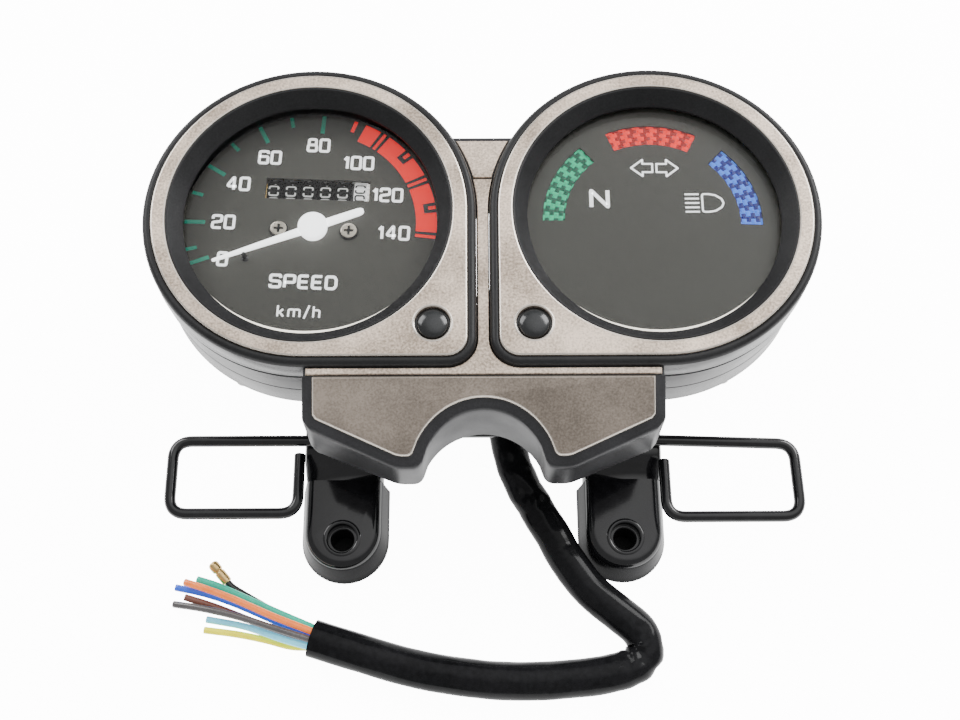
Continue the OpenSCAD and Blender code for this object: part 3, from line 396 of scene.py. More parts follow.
def refined(node, paint, body, edge=0.15, slot=None):
    """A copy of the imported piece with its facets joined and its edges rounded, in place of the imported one."""
    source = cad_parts[node]
    made = bpy.data.objects.new("fine_" + node, source.data.copy())
    bpy.context.collection.objects.link(made)
    made.matrix_world = source.matrix_world.copy()
    work = bmesh.new()
    work.from_mesh(made.data)
    bmesh.ops.remove_doubles(work, verts=work.verts, dist=1e-6)
    bmesh.ops.dissolve_limit(work, angle_limit=math.radians(1.0), verts=work.verts, edges=work.edges)
    work.to_mesh(made.data)
    work.free()
    made.data.materials.clear()
    made.data.materials.append(paint)
    soften = made.modifiers.new("soften", "BEVEL")
    soften.width = edge * MM
    soften.segments = 2
    soften.limit_method = "ANGLE"
    soften.angle_limit = math.radians(30)
    soften.use_clamp_overlap = True
    baked(made, 40)
    return settle(made, body, node, slot=slot)


def circle(r, centre=(0, 0), count=96, start=0.0, end=360.0):
    closed = abs(end - start) >= 359.9
    steps = count if closed else count + 1
    return [
        (centre[0] + r * math.cos(math.radians(start + (end - start) * k / count)),
         centre[1] + r * math.sin(math.radians(start + (end - start) * k / count))) for k in range(steps)
    ]


def rounded(corners, steps=7):
    """Outline of a polygon of (x, y, radius) corners, each rounded by its own radius."""
    line = []
    count = len(corners)
    for i, (x, y, r) in enumerate(corners):
        here = Vector((x, y))
        before = (Vector(corners[i - 1][:2]) - here)
        after = (Vector(corners[(i + 1) % count][:2]) - here)
        if r < 0.01:
            line.append((x, y))
            continue
        half = before.angle(after) / 2
        reach = min(r / math.tan(half), before.length * 0.49, after.length * 0.49)
        start = here + before.normalized() * reach
        end = here + after.normalized() * reach
        for k in range(steps + 1):
            t = k / steps
            line.append(tuple((1 - t) ** 2 * start + 2 * t * (1 - t) * here + t * t * end))
    return line


# ---- Swept tubes ----

def smooth_route(points, step):
    """Points about step apart along a Catmull-Rom line through the route points."""
    pts = [Vector(p) for p in points]
    pts = [pts[0] * 2 - pts[1]] + pts + [pts[-1] * 2 - pts[-2]]
    out = []
    for i in range(1, len(pts) - 2):
        p0, p1, p2, p3 = pts[i - 1:i + 3]
        count = max(2, int((p2 - p1).length / step))
        for k in range(count):
            t = k / count
            out.append(0.5 * ((2 * p1) + (p2 - p0) * t + (2 * p0 - 5 * p1 + 4 * p2 - p3) * t * t
                              + (3 * p1 - 3 * p2 + p3 - p0) * t ** 3))
    out.append(pts[-2])
    return out


def rings_along(route, radius, sides, shape=None):
    """Loops round a route; shape(angle, place) scales the radius."""
    loops = []
    count = len(route)
    for i, p in enumerate(route):
        ahead = route[min(i + 1, count - 1)] - route[max(i - 1, 0)]
        t = ahead.normalized()
        u = Vector((0, 0, 1)).cross(t).normalized()
        v = t.cross(u)
        loop = []
        for k in range(sides):
            a = 2 * math.pi * k / sides
            r = radius * (shape(a, p) if shape else 1.0)
            loop.append(tuple(p + (u * math.cos(a) + v * math.sin(a)) * r))
        loops.append(loop)
    return loops


# ---- Cords: the harness sleeve and its wires ----

SLEEVE_ROUTE = [
    (3, 74, 6.5), (4, 60, 6.7), (5.5, 46, 6.7), (7, 33, 5.8), (9.5, 22, 5.3), (14, 12.5, 5.3), (19.5, 3, 5.3),
    (24.3, -6, 5.3), (31, -14.5, 5.3), (38, -20.5, 5.3), (42.8, -25, 5.3), (45, -30, 5.3), (41.8, -34.6, 5.3),
    (35, -37, 5.3), (26, -38.2, 5.3), (14, -39, 5.3), (-1, -38.4, 5.3), (-17.5, -35.8, 5.3), (-32, -31.8, 5.3),
    (-48, -26.8, 5.3),
]
WIRE_ROUTES = {
    "teal": [(-47.2, -24.2, 5.7), (-58, -19.4, 4.4), (-69, -14.3, 3), (-76, -11.2, 2.4), (-81.8, -9.3, 2.2)],
    "orange": [(-47.6, -25.5, 7.7), (-58.5, -21.2, 7), (-70, -16, 5.6), (-78.4, -12.7, 4.6), (-85, -10.4, 3.6)],
    "blue": [(-48, -26.8, 5.3), (-58.5, -21.8, 3.4), (-70, -16.6, 1.8), (-79, -13.4, 1.2), (-88, -11.4, 1.2)],
    "brown": [(-48.1, -27.1, 2.6), (-58.5, -24, 1.2), (-68, -20.2, 1.2), (-77, -16.8, 1.2), (-85, -14.4, 2)],
    "grey": [(-48.3, -27.7, 7.9), (-58.5, -24.2, 6), (-69, -20.6, 4.4), (-79, -18, 3), (-88.2, -16.2, 1.2)],
    "light_blue": [(-48.8, -29.3, 6.2), (-56, -27, 4.4), (-63, -24.4, 3), (-69, -22.4, 1.5), (-78.5, -20.6, 1.1)],
    "yellow": [(-48.7, -29.1, 3.8), (-54.5, -28.4, 1.6), (-62, -26.4, 1.1), (-70, -24.8, 1.1), (-79, -23.6, 1.1)],
    "black": [(-45.4, -25.6, 3.4), (-56, -20.4, 1.2), (-65, -15.4, 1.1), (-70.4, -12.3, 1.1), (-72.4, -10.9, 1.1),
              (-73.8, -9.4, 1.5)],
}
SLEEVE_R, SLEEVE_BORE = 5.25, 4.5
CREASES = [((45, -30), 7.0, 0.16), ((31, -14.5), 9.0, 0.05), ((14, 12.5), 8.0, 0.1), ((9.5, 24), 7.0, 0.08),
           ((22, -2), 6.0, 0.06)]
FOLDS = [((7.6, 20.0), (0.35, -0.94), 70, 4.0, 38, 0.1), ((12.0, 12.5), (0.45, -0.9), 105, 4.5, 42, 0.12),
         ((14.2, 9.0), (0.5, -0.87), 60, 3.2, 40, 0.09), ((43.0, -26.6), (0.55, -0.84), 95, 4.0, 46, 0.13),
         ((43.6, -32.2), (-0.5, -0.86), 80, 4.2, 48, 0.14), ((39.0, -35.6), (-0.9, -0.4), 110, 4.0, 40, 0.09)]


def wrinkled(angle, place):
    """Dents and creases of the limp sleeve: strongest where it turns back on itself."""
    swell = 0.0
    for (x, y), reach, size in CREASES:
        near = math.exp(-((place.x - x) ** 2 + (place.y - y) ** 2) / reach ** 2)
        folds = math.sin(place.x * 0.95 + place.y * 1.25 + 2.2 * math.sin(angle + 0.6))
        swell -= size * near * (0.35 + 0.65 * folds * abs(folds)) * (0.6 + 0.4 * math.cos(angle * 2 + x))
    for (x, y), way, facing, along, around, size in FOLDS:
        step = (place.x - x) * way[0] + (place.y - y) * way[1]
        aside = abs((math.degrees(angle) - facing + 180) % 360 - 180)
        if (place.x - x) ** 2 + (place.y - y) ** 2 < (2 * along) ** 2:
            swell -= size * min(1.0, 2.2 * max(0.0, 1 - abs(step) / along - aside / around))
    spot = Vector((place.x * 0.16, place.y * 0.16, 3 * math.cos(angle) + 2 * math.sin(angle)))
    swell += 0.022 * noise.noise(spot)
    dip = 0.035 * max(0.0, -math.sin(angle))
    return 1.0 + swell - dip


sleeve_line = smooth_route(SLEEVE_ROUTE, 0.8)
sleeve_skin = rings_along(sleeve_line, SLEEVE_R, 40, wrinkled)
cut_end = rings_along(sleeve_line[-24:], SLEEVE_BORE, 40)
sleeve_shape = lofted(
    sleeve_skin
    + [[tuple((Vector(a) * 0.45 + Vector(b) * 0.55)) for a, b in zip(sleeve_skin[-1], cut_end[-1])]]
    + cut_end[::-1],
    cap_start=True, cap_end=True,
)
sleeve = solid("sleeve", *sleeve_shape, PVC, 50)
settle(sleeve, HOUSING, "harness_sleeve", slot="pvc_sleeve")

BULLET = [(0.0, -0.8), (1.2, -0.8), (1.4, -0.6), (1.45, 0.2), (1.45, 2.7), (1.36, 2.9), (1.22, 3.0), (1.22, 3.35),
          (1.36, 3.45), (1.5, 3.7), (1.54, 4.2), (1.54, 5.4), (1.42, 5.9), (1.12, 6.25), (0.7, 6.44), (0.0, 6.5)]
wire_objects = {}
for colour, route in WIRE_ROUTES.items():
    line = smooth_route(route, 0.8)
    loops = rings_along(line, 1.0, 16, lambda angle, place: 1.0 + 0.02 * noise.noise(place * 0.4))
    end = (line[-1] - line[-2]).normalized()
    tip = [tuple(Vector(p) + end * 0.12 - (Vector(p) - line[-1]) * 0.1) for p in loops[-1]]
    inner = [tuple(line[-1] + end * 0.12 + (Vector(p) - line[-1]) * 0.62) for p in loops[-1]]
    sunk = [tuple(line[-1] - end * 0.4 + (Vector(p) - line[-1]) * 0.6) for p in loops[-1]]
    # The wire's colour also gives off light of its own: painted light.
    paint = finish_of("pvc_" + colour, WIRE_COLOURS[colour], 0.26, 0.0, 0.12, 300.0, 1600.0, 0.08, 0.03, coat=0.2,
                      glow=0.55)
    skin = lofted(loops + [tip, inner, sunk], cap_start=True, cap_end=True)
    strands = []
    side = Vector((0, 0, 1)).cross(end).normalized()
    up = end.cross(side)
    for ring, count in ((0.0, 1), (0.38, 6)):
        for k in range(count):
            a = 2 * math.pi * k / count
            middle = line[-1] + (side * math.cos(a) + up * math.sin(a)) * ring
            strands.append(lofted(
                rings_along([middle - end * 0.5, middle + end * 0.02, middle + end * (0.1 + 0.03 * (k % 2))], 0.18, 6),
                cap_start=True, cap_end=True))
    whole = merged([skin] + strands)
    made = solid("wire_" + colour + "_skin", *whole, [paint, COPPER], 45)
    first = len(skin[1])
    for index, face in enumerate(made.data.polygons):
        face.material_index = 1 if index >= first else 0
    settle(made, HOUSING, "wire_" + colour, slot="lead_black" if colour == "black" else "wire_" + colour)
    wire_objects[colour] = (made, line)

black_line = wire_objects["black"][1]
aim = (black_line[-1] - black_line[-2]).normalized()
spin = aim.to_track_quat("Z", "Y").to_matrix().to_4x4()
bullet = solid("bullet", *moved(turned(BULLET, 32), Matrix.Translation(black_line[-1]) @ spin), BRASS, 40)
settle(bullet, HOUSING, "bullet_terminal", slot="brass")


# ---- Pods ----

def pod_line(side):
    """Outline of a pod about its centre as (point, outward normal), the square corner to the middle and the bottom."""
    flip = 1 if side < 0 else -1
    mid = RIM_R - CORNER_R
    line = [((RIM_R * math.cos(a), RIM_R * math.sin(a)), (math.cos(a), math.sin(a)))
            for a in (math.radians(1.5 * k) for k in range(181))]
    line += [((mid * k / 12, -RIM_R), (0, -1)) for k in range(1, 12)]
    line += [((mid + CORNER_R * math.cos(a), -mid + CORNER_R * math.sin(a)), (math.cos(a), math.sin(a)))
             for a in (math.radians(-90 + 5 * k) for k in range(19))]
    line += [((RIM_R, -mid * (12 - k) / 12), (1, 0)) for k in range(1, 12)]
    return [((x * flip, y), (u * flip, v)) for (x, y), (u, v) in line]


def pod_loop(side, inset, depth):
    return [(side * PITCH + x - u * inset, DIAL_Y + y - v * inset, FACE - depth)
            for (x, y), (u, v) in pod_line(side)]


def pod_loops(side, *rows):
    return [pod_loop(side, inset, depth) for inset, depth in rows]


def round_loop(side, r, depth):
    """A circle with one point for each point of the pod's outline."""
    loop = []
    for (x, y), _ in pod_line(side):
        size = math.hypot(x, y)
        loop.append((side * PITCH + x / size * r, DIAL_Y + y / size * r, FACE - depth))
    return loop


def round_loops(side, *rows):
    return [round_loop(side, r, depth) for r, depth in rows]


def at_pod(side, x, y, depth):
    return (side * PITCH + x, DIAL_Y + y, FACE - depth)


def speedo_frame(z=0.0):
    return Matrix.Translation((-PITCH, DIAL_Y, z)) @ Matrix.Rotation(DIAL_TURN, 4, "Z")


def plug_at(side):
    return (-side * PLUG_X, -PLUG_X)


def case_of(side, name, node):
    skirt = pod_loops(
        side, (2.75, 1.6), (2.55, 0.95), (2.2, 0.62), (1.7, 0.45), (1.1, 0.5), (0.5, 0.85), (0.12, 1.4), (0, 2.1),
        (0, 8.6), (0.15, 8.95), (0.55, 9.1), (1.0, 9.2), (1.0, 10.3), (0.6, 10.4), (0.3, 10.65), (0.3, 13.9),
        (0.5, 14), (2.2, 14))
    cone = round_loops(
        side, (40.2, 14), (38.7, 14), (38.7, 5), (LIP_R + 0.15, 5), (LIP_R, 4.85), (LIP_R, 4.15), (LIP_R + 0.2, 3.9),
        (OPENING_R - 0.7, 0.5), (OPENING_R - 0.4, 0.2), (OPENING_R - 0.1, 0.12), (OPENING_R + 0.2, 0.25),
        (OPENING_R + 0.35, 1.6))
    shell = lofted(skirt + cone, closed=True)
    shell = solid(name, *shell, RIM_ABS, 28)
    cut_by(shell, turned([(PLUG_RECESS_R, 0), (PLUG_RECESS_R, 4)], 64, at_pod(side, *plug_at(side), 3)), angle=28)
    # The case's outward sides take the lighter copy of the black: painted light.
    shell.data.materials.append(SIDE_ABS_LIT)
    for side_face in shell.data.polygons:
        spot = side_face.center / MM
        out = side_face.normal.x * (spot.x - side * PITCH) + side_face.normal.y * (spot.y - DIAL_Y)
        if spot.z < FACE - SIDE_DEPTH and out > SIDE_OUT:
            side_face.material_index = 1
    settle(shell, HOUSING, node, slot="black_abs")
    face = lofted(
        pod_loops(side, (2.5, 1.55), (2.5, 0.5), (2.62, 0.2), (2.95, 0.0))
        + round_loops(side, (OPENING_R + 0.62, 0.0), (OPENING_R + 0.35, 0.2), (OPENING_R + 0.3, 1.55)), closed=True)
    face = solid(name + "_face", *face, BRONZE, 28)
    x, y = plug_at(side)
    cut_by(face, turned([(PLUG_RECESS_R, 0), (PLUG_RECESS_R, 3), (5.3, 3.6)], 72, at_pod(side, x, y, 3.25)), angle=28)
    settle(face, HOUSING, slot="black_abs")
    edge = ringed([(5.5, 0.02), (5.2, 0.09), (4.88, -0.12), (4.85, -0.4), (4.95, -0.4)], 72, at_pod(side, x, y, 0))
    outer = lofted(pod_loops(side, (2.47, 0.55), (2.5, 0.2), (2.66, 0.03), (2.95, -0.03), (3.0, 0.03), (2.7, 0.5)),
                   closed=True)
    inner = lofted(round_loops(side, (OPENING_R + 0.22, 0.3), (OPENING_R + 0.3, 0.06), (OPENING_R + 0.62, -0.03),
                               (OPENING_R + 0.7, 0.03), (OPENING_R + 0.4, 0.3)), closed=True)
    # The rounded edges take the lighter copy of the paint: painted highlight.
    trim = solid(name + "_edges", *merged([edge, outer, inner]), BRONZE_EDGE_HIGHLIGHT, 40)
    settle(trim, HOUSING)
    plug = turned([
        (0, -3.6), (2.6, -3.6), (3.0, -3.2), (3.0, -1.25), (4.84, -1.25), (4.84, -0.95), (4.3, -0.95), (4.25, -0.35),
        (4.12, -0.1), (3.85, 0.12), (3.2, 0.45), (2.3, 0.72), (1.2, 0.88), (0.4, 0.92), (0.0, 0.92),
    ], 64, at_pod(side, x, y, 0.4))
    return plug


cases = {-1: ("speedo_case", "speedo_upper_case"), 1: ("indicator_case", "indicator_upper_case")}
plugs = [case_of(side, *names) for side, names in cases.items()]
housed("plugs", plugs, PLUG_BLACK, 30, "screw_plugs", slot="gloss_black_plastic")


def lower_case_of(side, name):
    inner = pod_loops(side, (3.1, 14.0), (3.2, 31.0))
    outer = pod_loops(side, (1.1, 14.0), (0.9, 14.2), (0.95, 20.9), (1.1, 21.05), (1.1, 21.35), (0.95, 21.5),
                      (1.0, 30.6), (1.3, 31.7), (1.9, 32.5), (2.8, 32.95), (3.6, 33.0))
    # The lower case takes the lighter copy of the black: painted light.
    return solid(name, *cupped(outer, inner), SIDE_ABS_LIT, 28)


def hump_line(grow):
    """Outline of the rear hump: a round boss and a lobe, joined by their tangents."""
    r1, r2 = 16.5 + grow, 14.5 + grow
    away = Vector((18.2, 18.1))
    tilt = math.atan2(away.y, away.x)
    lean = math.acos((r1 - r2) / away.length)
    line = circle(r1, (0, 0), 60, math.degrees(tilt + lean), math.degrees(tilt - lean) + 360)
    line += circle(r2, tuple(away), 36, math.degrees(tilt - lean), math.degrees(tilt + lean))
    return line


speedo_pan = lower_case_of(-1, "speedo_pan")
hump_loops = []
for grow, depth in ((1.6, 31.0), (1.6, 32.95), (0.9, 33.1), (0.3, 33.6), (0, 34.4), (0, 44.2), (-0.3, 45.2),
                    (-0.9, 45.8), (-1.7, 46.0)):
    hump_loops.append([tuple(speedo_frame(FACE - depth) @ Vector((x, y, 0))) for x, y in hump_line(grow)])
hump = solid("speedo_hump", *lofted(hump_loops, cap_start=True, cap_end=True), BLACK_ABS, 30)
settle(speedo_pan, HOUSING, "speedo_lower_case", slot="black_abs")
settle(hump, HOUSING, slot="black_abs")
indicator_pan = lower_case_of(1, "indicator_pan")
settle(indicator_pan, HOUSING, "indicator_lower_case", slot="black_abs")


def lens_of(side, name, node):
    disc = turned([
        (38.3, -7.1), (38.4, -7.0), (38.4, -5.75), (38.25, -5.6), (37.5, -5.6), (30, -5.45), (20, -5.32),
        (10, -5.24), (0.0, -5.2),
    ], 128, (side * PITCH, DIAL_Y, FACE))
    made = solid(name, *disc, CLEAR, 30)
    return settle(made, HOUSING, node, slot="clear_lens")


lens_of(-1, "speedo_glass", "speedo_lens")
lens_of(1, "indicator_glass", "indicator_lens")


def bead_of(side):
    """A glowing pale ring on the lens's step, widest at the bottom, where it faces the rider: a painted highlight."""
    loops = []
    for k in range(144):
        a = math.radians(2.5 * k)
        wide = 0.12 + 1.25 * max(0.0, -math.sin(a)) ** 2.2
        loops.append([(side * PITCH + r * math.cos(a), DIAL_Y + 0.55 + r * math.sin(a), FACE + z)
                      for r, z in ((36.35 - wide, -5.16), (36.35, -5.1), (36.35, -5.5), (36.35 - wide, -5.5))])
    return lofted(loops, closed=True)


glint_rings = [bead_of(side) for side in (-1, 1)]
housed("lens_edge_glints", glint_rings, LENS_GLINT)
gaskets = [ringed([(36.45, -5.58), (36.4, -5.4), (36.5, -5.05), (38.3, -5.05), (38.4, -5.3), (38.35, -5.58)], 128,
                  (side * PITCH, DIAL_Y, FACE)) for side in (-1, 1)]
housed("gasket_rings", gaskets, RUBBER, 30, "lens_gaskets", slot="black_rubber")


# ---- Strokes and characters of the artwork ----

GLYPHS = {
    "0": (0.72, [[(0, 0), (1, 0), (1, 1), (0, 1), "loop"]]),
    "1": (0.36, [[(-0.25, 0.72), (0.7, 1.0)], [(0.75, 1), (0.75, 0)]]),
    "2": (0.72, [[(0, 0.74), (0, 1), (1, 1), (1, 0.54), (0, 0.44), (0, 0), (1, 0)]]),
    "3": (0.72, [[(0, 1), (1, 1), (1, 0), (0, 0)], [(0.3, 0.5), (1, 0.5)]]),
    "4": (0.76, [[(1, 0.27), (-0.05, 0.27), (0.62, 1), (0.72, 1), (0.72, 0)]]),
    "5": (0.72, [[(1, 1), (0, 1), (0, 0.57), (1, 0.57), (1, 0), (0, 0)]]),
    "6": (0.72, [[(1, 0.8), (1, 1), (0, 1), (0, 0), (1, 0), (1, 0.56), (0, 0.56)]]),
    "7": (0.72, [[(0, 1), (1, 1), (0.35, 0)]]),
    "8": (0.72, [[(0, 0), (1, 0), (1, 0.52), (0, 0.52), "loop"], [(0.08, 0.52), (0.92, 0.52), (0.92, 1), (0.08, 1),
                                                                  "loop"]]),
    "9": (0.72, [[(0, 0), (1, 0), (1, 1), (0, 1), (0, 0.45), (1, 0.45)]]),
    "S": (0.72, [[(1, 0.78), (1, 1), (0, 1), (0, 0.52), (1, 0.48), (1, 0), (0, 0), (0, 0.22)]]),
    "P": (0.72, [[(0, 0), (0, 1), (1, 1), (1, 0.42), (0, 0.42)]]),
    "E": (0.68, [[(1, 1), (0, 1), (0, 0), (1, 0)], [(0, 0.5), (0.92, 0.5)]]),
    "D": (0.72, [[(0, 0), (0.8, 0), (1, 0.25), (1, 0.75), (0.8, 1), (0, 1), "loop"]]),
    "N": (0.8, [[(0, 0), (0, 1), (1, 0), (1, 1)]]),
    "k": (0.5, [[(0, 0), (0, 1)], [(0.85, 0.66), (0.05, 0.27)], [(0.3, 0.4), (0.95, 0)]]),
    "m": (0.8, [[(0, 0), (0, 0.66), (0.5, 0.66), (0.5, 0)], [(0.5, 0.66), (1, 0.66), (1, 0)]]),
    "/": (0.4, [[(0, -0.12), (1, 1.08)]]),
    "h": (0.48, [[(0, 0), (0, 1)], [(0, 0.66), (1, 0.66), (1, 0)]]),
}


def stroke(points, width, low, high, looped=False, bend=0.0):
    """A raised line of one width through flat points, its corners rounded by bend."""
    corners = [(x, y, bend) for x, y in points]
    if not looped:
        corners[0] = (*points[0], 0.0)
        corners[-1] = (*points[-1], 0.0)
    line = rounded(corners, 4)
    count = len(line)
    left, right = [], []
    for i in range(count):
        b = Vector(line[i])
        a = Vector(line[i - 1]) if looped or i else b
        c = Vector(line[(i + 1) % count]) if looped or i < count - 1 else b
        u, v = b - a, c - b
        u = u if u.length > 1e-6 else v
        v = v if v.length > 1e-6 else u
        u, v = u.normalized(), v.normalized()
        normal = Vector((-(u.y + v.y), u.x + v.x))
        normal = normal.normalized() if normal.length > 1e-6 else Vector((-u.y, u.x))
        scale = min(2.2, 1 / max(0.3, normal.dot(Vector((-u.y, u.x)))))
        left.append(b + normal * width / 2 * scale)
        right.append(b - normal * width / 2 * scale)
    loops = [[(l.x, l.y, low), (l.x, l.y, high), (r.x, r.y, high), (r.x, r.y, low)] for l, r in zip(left, right)]
    return lofted(loops, closed=looped, cap_start=not looped, cap_end=not looped)


def word(text, height, width, weight, gap, low, high, bend=0.6):
    """Characters in a row, centred on the origin."""
    parts, x = [], 0.0
    inner = height - weight
    for letter in text:
        wide, lines = GLYPHS[letter]
        span = wide * width - weight
        for order, line in enumerate(lines):
            looped = line[-1] == "loop"
            spots = [p for p in line if p != "loop"]
            parts.append(stroke([(x + weight / 2 + px * span, (py - 0.5) * inner) for px, py in spots], weight, low,
                                high + 0.004 * order, looped, bend))
        x += wide * width + gap
    shape = merged(parts)
    return [(px - (x - gap) / 2, py, pz) for px, py, pz in shape[0]], shape[1]


def sector(r_in, r_out, start, end, low, high):
    """A raised piece of a ring between two angles."""
    steps = max(2, int(abs(end - start) / 2))
    loops = []
    for k in range(steps + 1):
        a = math.radians(start + (end - start) * k / steps)
        c, s = math.cos(a), math.sin(a)
        loops.append([(r_in * c, r_in * s, low), (r_in * c, r_in * s, high), (r_out * c, r_out * s, high),
                      (r_out * c, r_out * s, low)])
    return lofted(loops, cap_start=True, cap_end=True)


# ---- Speedometer dial ----

INK = 0.07
dial_outline = circle(DIAL_R, count=128)
odo_half_w, odo_half_h = 15.0, 3.3
odo_hole = [(-odo_half_w, ODO_Y - odo_half_h), (odo_half_w, ODO_Y - odo_half_h), (odo_half_w, ODO_Y + odo_half_h),
            (-odo_half_w, ODO_Y + odo_half_h)]
dial = plate("speedo_card", [dial_outline, odo_hole, circle(1.6, count=24), circle(1.3, (-10, 0), 24),
                             circle(1.3, (10, 0), 24)], -0.6, 0, 0.05, DIAL_INK)
dial.matrix_world = speedo_frame(FACE - DIAL_DEPTH)
dial.matrix_world.translation *= MM
settle(dial, HOUSING, "speedo_dial", slot="dial_grey")

ink_frame = Matrix.Translation((-PITCH, DIAL_Y, FACE - DIAL_DEPTH))
NUMBER_SIZE = (4.7, 4.55, 0.8, 0.3, 0, INK, 0.55)
LABELS = [("0", -25.4, -8.9, NUMBER_SIZE), ("20", -25.9, 2.9, NUMBER_SIZE), ("40", -22.4, 15.3, NUMBER_SIZE),
          ("60", -13.7, 24.0, NUMBER_SIZE), ("80", 0.3, 28.0, NUMBER_SIZE), ("100", 12.3, 22.0, NUMBER_SIZE),
          ("120", 20.9, 11.4, NUMBER_SIZE), ("140", 22.9, -0.9, NUMBER_SIZE),
          ("SPEED", -2.3, -16.2, (4.5, 5.0, 0.84, 0.42, 0, INK, 0.6)),
          ("km/h", -3.2, -25.3, (3.9, 4.6, 0.55, 0.72, 0, INK, 0.5))]
white = [moved(word(text, *size), ink_frame @ Matrix.Translation((x, y, 0)) @ Matrix.Rotation(DIAL_TURN, 4, "Z"))
         for text, x, y, size in LABELS]
housed("dial_numbers", white, GLOWING_WHITE_INK)


def scale_angle(speed):
    """Direction of a speed on the scale, in degrees: even above 20, closer together below it."""
    if speed < 20:
        return 200.1 - 0.74 * speed
    return 178.4 - 1.545 * (speed - 20)


scale_frame = ink_frame @ Matrix.Translation((-1.0, 2.0, 0))
SCALE_OUT, LONG_IN, SHORT_IN, BAND_GAP = 36.0, 30.1, 32.7, 2.5


def tick(speed, r_in, width, high):
    shape = stroke([(r_in, 0), (SCALE_OUT, 0)], width, 0, high)
    return moved(shape, scale_frame @ Matrix.Rotation(math.radians(scale_angle(speed)), 4, "Z"))


def band(start, end, high, r_in=LONG_IN):
    return moved(sector(r_in, SCALE_OUT, start, end, 0, high), scale_frame)


teal = [tick(speed, LONG_IN, 1.2, INK) for speed in (0, 20, 40, 60, 80)]
teal += [tick(speed, SHORT_IN, 1.1, INK) for speed in (10, 30, 50, 70)]
housed("dial_ticks", teal, GLOWING_TEAL_INK)
red = [band(scale_angle(high) + BAND_GAP, scale_angle(low) - BAND_GAP, INK) for low, high in ((100, 120), (120, 140))]
red.append(band(scale_angle(100) + BAND_GAP, scale_angle(90) - 2 * BAND_GAP, INK))
red.append(tick(90, SHORT_IN - 0.3, 1.0, INK))
housed("dial_red_band", red, GLOWING_RED_INK)
gaps = [band(scale_angle(speed) - BAND_GAP, scale_angle(speed) + BAND_GAP, INK * 0.8) for speed in (100, 120)]
gaps.append(band(scale_angle(140), scale_angle(140) + BAND_GAP, INK * 0.8))
gaps += [band(scale_angle(speed) - NOTCH_HALF, scale_angle(speed) + NOTCH_HALF, INK + 0.03, NOTCH_IN)
         for speed in (110, 130)]
housed("dial_notches", gaps, BLACK_INK)
bars = [tick(speed, LONG_IN, 0.85, INK + 0.02) for speed in (100, 120, 140)]
bars += [tick(speed, 33.9, 1.0, INK + 0.06) for speed in (110, 130)]
housed("dial_notch_ticks", bars, GLOWING_RED_INK)
rest = math.radians(NEEDLE_REST)
stop_x = -PITCH + 20.9 * math.cos(rest) - 1.55 * math.sin(rest)
stop_y = DIAL_Y + 20.9 * math.sin(rest) + 1.55 * math.cos(rest)
stop = turned([(1.0, -DIAL_DEPTH), (1.0, -12.3), (0.6, -12.1), (0.55, -10.0), (0.6, -9.9), (0.6, -9.6), (0.4, -9.4),
               (0.0, -9.4)], 24, (stop_x, stop_y, FACE))
settle(solid("needle_stop", *stop, GLOSS_BLACK, 35), HOUSING)

# ---- Needle, with a hub cap ----

blade = []
half_width = [(29.8, 0.22, 10.05), (29.4, 0.4, 9.95), (24, 0.62, 9.85), (12, 0.95, 9.75), (3, 1.2, 9.7),
              (-3, 1.25, 9.7), (-9, 1.2, 9.75), (-13.6, 1.15, 9.8), (-14.6, 0.95, 9.85), (-15.1, 0.5, 9.95)]
for x, half, crest in half_width:
    blade.append([(x, -half, -10.7), (x, -half * 0.96, -10.15), (x, -half * 0.6, -crest - 0.04), (x, 0, -crest + 0.02),
                  (x, half * 0.6, -crest - 0.04), (x, half * 0.96, -10.15), (x, half, -10.7)])
blade = lofted(blade, cap_start=True, cap_end=True)
needle_frame = Matrix.Translation((-PITCH, DIAL_Y, FACE)) @ Matrix.Rotation(rest, 4, "Z")
hub_cap = turned([(0.9, -11.6), (3.6, -11.6), (3.9, -11.4), (4.05, -10.9), (4.15, -9.6), (4.2, -9.3), (4.05, -8.95),
                  (3.7, -8.8), (2.6, -8.7), (1.2, -8.66), (0.0, -8.66)], 72, (0, 0, 0))
needle = solid("needle_pointer", *moved(merged([blade, hub_cap]), needle_frame), GLOWING_NEEDLE_WHITE, 32)
settle(needle, "needle_set", "needle", slot="white_plastic")


# ---- Odometer drums ----

